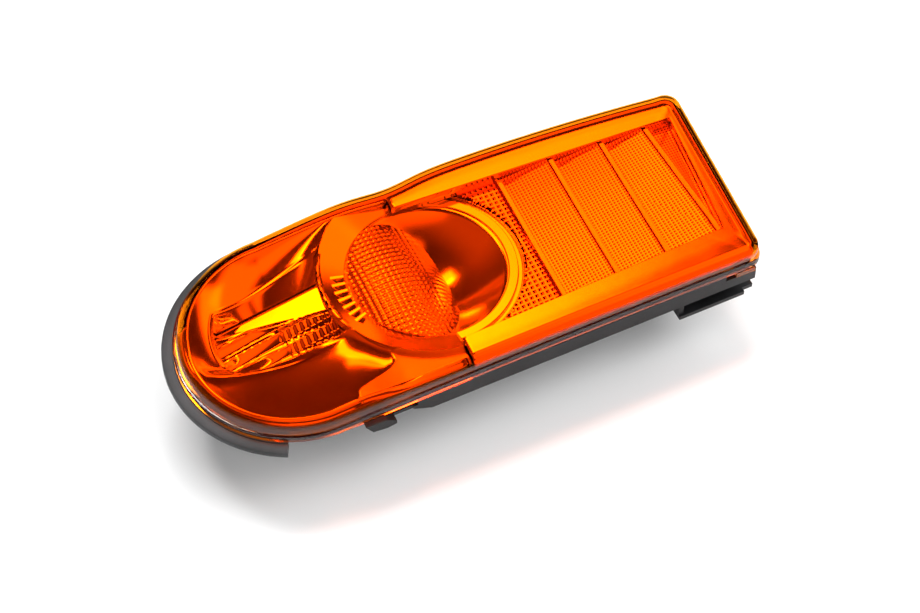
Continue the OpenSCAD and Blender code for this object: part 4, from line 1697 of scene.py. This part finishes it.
def panel_group() -> bpy.types.NodeTree:
    """Makes the shared group that gives the glow of one soft-edged panel seen in a direction.

    Returns:
        The group, with the panel's three axes and sizes as sockets and a Light output.
    """
    inputs = dict.fromkeys(("Direction", "Facing", "Across", "Upward"), Socket.VECTOR)
    inputs |= dict.fromkeys(("Width", "Height", "Soft", "Glow"), Socket.NUMBER)
    nodes = start_group("soft_panel", inputs, {"Light": Socket.NUMBER})
    ins = nodes.tree.nodes.new("NodeGroupInput").outputs
    outs = nodes.tree.nodes.new("NodeGroupOutput")
    light = ins["Glow"]
    for axis, size in (("Across", "Width"), ("Upward", "Height")):
        edge = nodes.add("MapRange", interpolation_type="SMOOTHSTEP", To_Min=1.0, To_Max=0.0)
        nodes.join(nodes.number("ABSOLUTE", nodes.dot(ins["Direction"], ins[axis])), edge.inputs["Value"])
        nodes.join(ins[size], edge.inputs["From Min"])
        nodes.join(nodes.number("ADD", ins[size], ins["Soft"]), edge.inputs["From Max"])
        light = nodes.number("MULTIPLY", light, edge.outputs["Result"])
    front = nodes.number("GREATER_THAN", nodes.dot(ins["Direction"], ins["Facing"]), 0.0)
    nodes.join(nodes.number("MULTIPLY", light, front), outs.inputs["Light"])
    return nodes.tree


@dataclass(frozen=True)
class Panel:
    """A far, soft-edged light panel.

    Its bearing goes from +Y towards +X. The bearing, the height and the half sizes are in degrees.
    """

    bearing: float
    height: float
    half_width: float
    half_height: float
    soft: float
    glow: float

    def axes(self) -> tuple[Vector, Vector, Vector]:
        """Finds the panel's axes.

        Returns:
            The direction towards the panel, the one across it and the one up it.
        """
        a, e = math.radians(self.bearing), math.radians(self.height)
        facing = Vector((math.sin(a) * math.cos(e), math.cos(a) * math.cos(e), math.sin(e)))
        across = Vector((math.cos(a), -math.sin(a), 0.0))
        return facing, across, across.cross(facing)

    def extent(self) -> Triple:
        """Half width, half height and softness as sines."""
        return tuple(math.sin(math.radians(s)) for s in (self.half_width, self.half_height, self.soft))


@dataclass
class Studio:
    """The floor, the camera and the lights."""

    azimuth: float = -24.0
    elevation: float = 54.0
    distance: float = 1.022
    target: Triple = (66.8, -11.5, 0.0)
    lens: float = 100.0
    sensor: float = 36.0
    floor_colour: Triple = (0.84, 0.84, 0.84)
    floor_half: float = 3.0
    dim: float = 0.08
    horizon: float = 1.1
    horizon_top: float = 0.1
    panels: tuple[Panel, ...] = (
        Panel(bearing=-3, height=62, half_width=14.5, half_height=4.2, soft=5, glow=16),
        Panel(bearing=-20, height=55, half_width=2.5, half_height=1.2, soft=3, glow=26),
        Panel(bearing=26, height=48, half_width=3.2, half_height=1.5, soft=2.8, glow=9),
        Panel(bearing=25, height=54, half_width=3, half_height=1.5, soft=3, glow=5),
        Panel(bearing=43, height=42, half_width=5, half_height=2.5, soft=4, glow=6),
        Panel(bearing=46, height=5, half_width=11, half_height=3, soft=4, glow=4),
        Panel(bearing=190, height=42, half_width=22, half_height=8, soft=10, glow=1.6),
        Panel(bearing=-120, height=40, half_width=40, half_height=8, soft=28, glow=0.55),
        Panel(bearing=122, height=60, half_width=14, half_height=17, soft=9, glow=2.6),
        Panel(bearing=85, height=38, half_width=20, half_height=7, soft=8, glow=4.5),
    )

    def back(self) -> Vector:
        """Direction from the target to the camera."""
        a, e = math.radians(self.azimuth), math.radians(self.elevation)
        return Vector((math.sin(a) * math.cos(e), -math.cos(a) * math.cos(e), math.sin(e)))

    def camera(self) -> None:
        """Places the camera."""
        data = bpy.data.cameras.new("camera")
        data.lens = self.lens
        data.sensor_width = self.sensor
        data.clip_start = 0.02
        made = bpy.data.objects.new("camera", data)
        made.location = ROW.place(*self.target) + self.back() * self.distance
        made.rotation_euler = self.back().to_track_quat("Z", "Y").to_euler()
        bpy.context.scene.collection.objects.link(made)
        bpy.context.scene.camera = made

    def floor(self) -> None:
        """Lays the pale floor."""
        mesh = bmesh.new()
        bmesh.ops.create_grid(mesh, x_segments=1, y_segments=1, size=self.floor_half)
        data = bpy.data.meshes.new("floor")
        mesh.to_mesh(data)
        mesh.free()
        made = bpy.data.objects.new("floor", data)
        bpy.context.scene.collection.objects.link(made)
        material = bpy.data.materials.new("floor_paper")
        nodes = Nodes(material)
        paper = nodes.add("BsdfPrincipled", Base_Color=(*self.floor_colour, 1), Roughness=0.8)
        nodes.finish(paper.outputs[0])
        data.materials.append(material)

    def world(self) -> None:
        """Hangs the soft panels in a dim, even surrounding that is paler towards the horizon."""
        made = bpy.data.worlds.new("studio")
        bpy.context.scene.world = made
        nodes = Nodes(made)
        sky = nodes.add("TexCoord").outputs["Generated"]
        low = nodes.add("MapRange", interpolation_type="SMOOTHSTEP", From_Min=0.0, From_Max=self.horizon_top,
                        To_Min=self.horizon, To_Max=self.dim)
        nodes.join(nodes.feed(nodes.add("SeparateXYZ"), sky).outputs["Z"], low.inputs["Value"])
        total = low.outputs["Result"]
        group = panel_group()
        for panel in self.panels:
            facing, across, upward = panel.axes()
            width, height, soft = panel.extent()
            one = nodes.add("Group", node_tree=group, Facing=facing, Across=across, Upward=upward,
                            Width=width, Height=height, Soft=soft, Glow=panel.glow)
            nodes.join(sky, one.inputs["Direction"])
            total = nodes.number("ADD", total, one.outputs["Light"])
        light = nodes.add("Background", Color=(1, 1, 1, 1))
        nodes.join(total, light.inputs["Strength"])
        nodes.finish(light.outputs[0], "OutputWorld")

    def dress(self) -> None:
        """Sets up the whole studio."""
        self.camera()
        self.floor()
        self.world()
        bpy.context.scene.view_settings.view_transform = "Standard"


def main() -> None:
    """Builds and dresses the lamp and its studio."""
    logging.basicConfig(level=logging.INFO, format="%(message)s")
    Studio().dress()
    OuterLens().dress()
    Reflector().dress()
    BezelFrame().dress()
    ReflexInsert().dress()
    InnerLens().dress()
    MarkerOptic().dress()
    EdgeSeal().dress()
    PlainParts().dress()


if __name__ == "__main__":
    main()
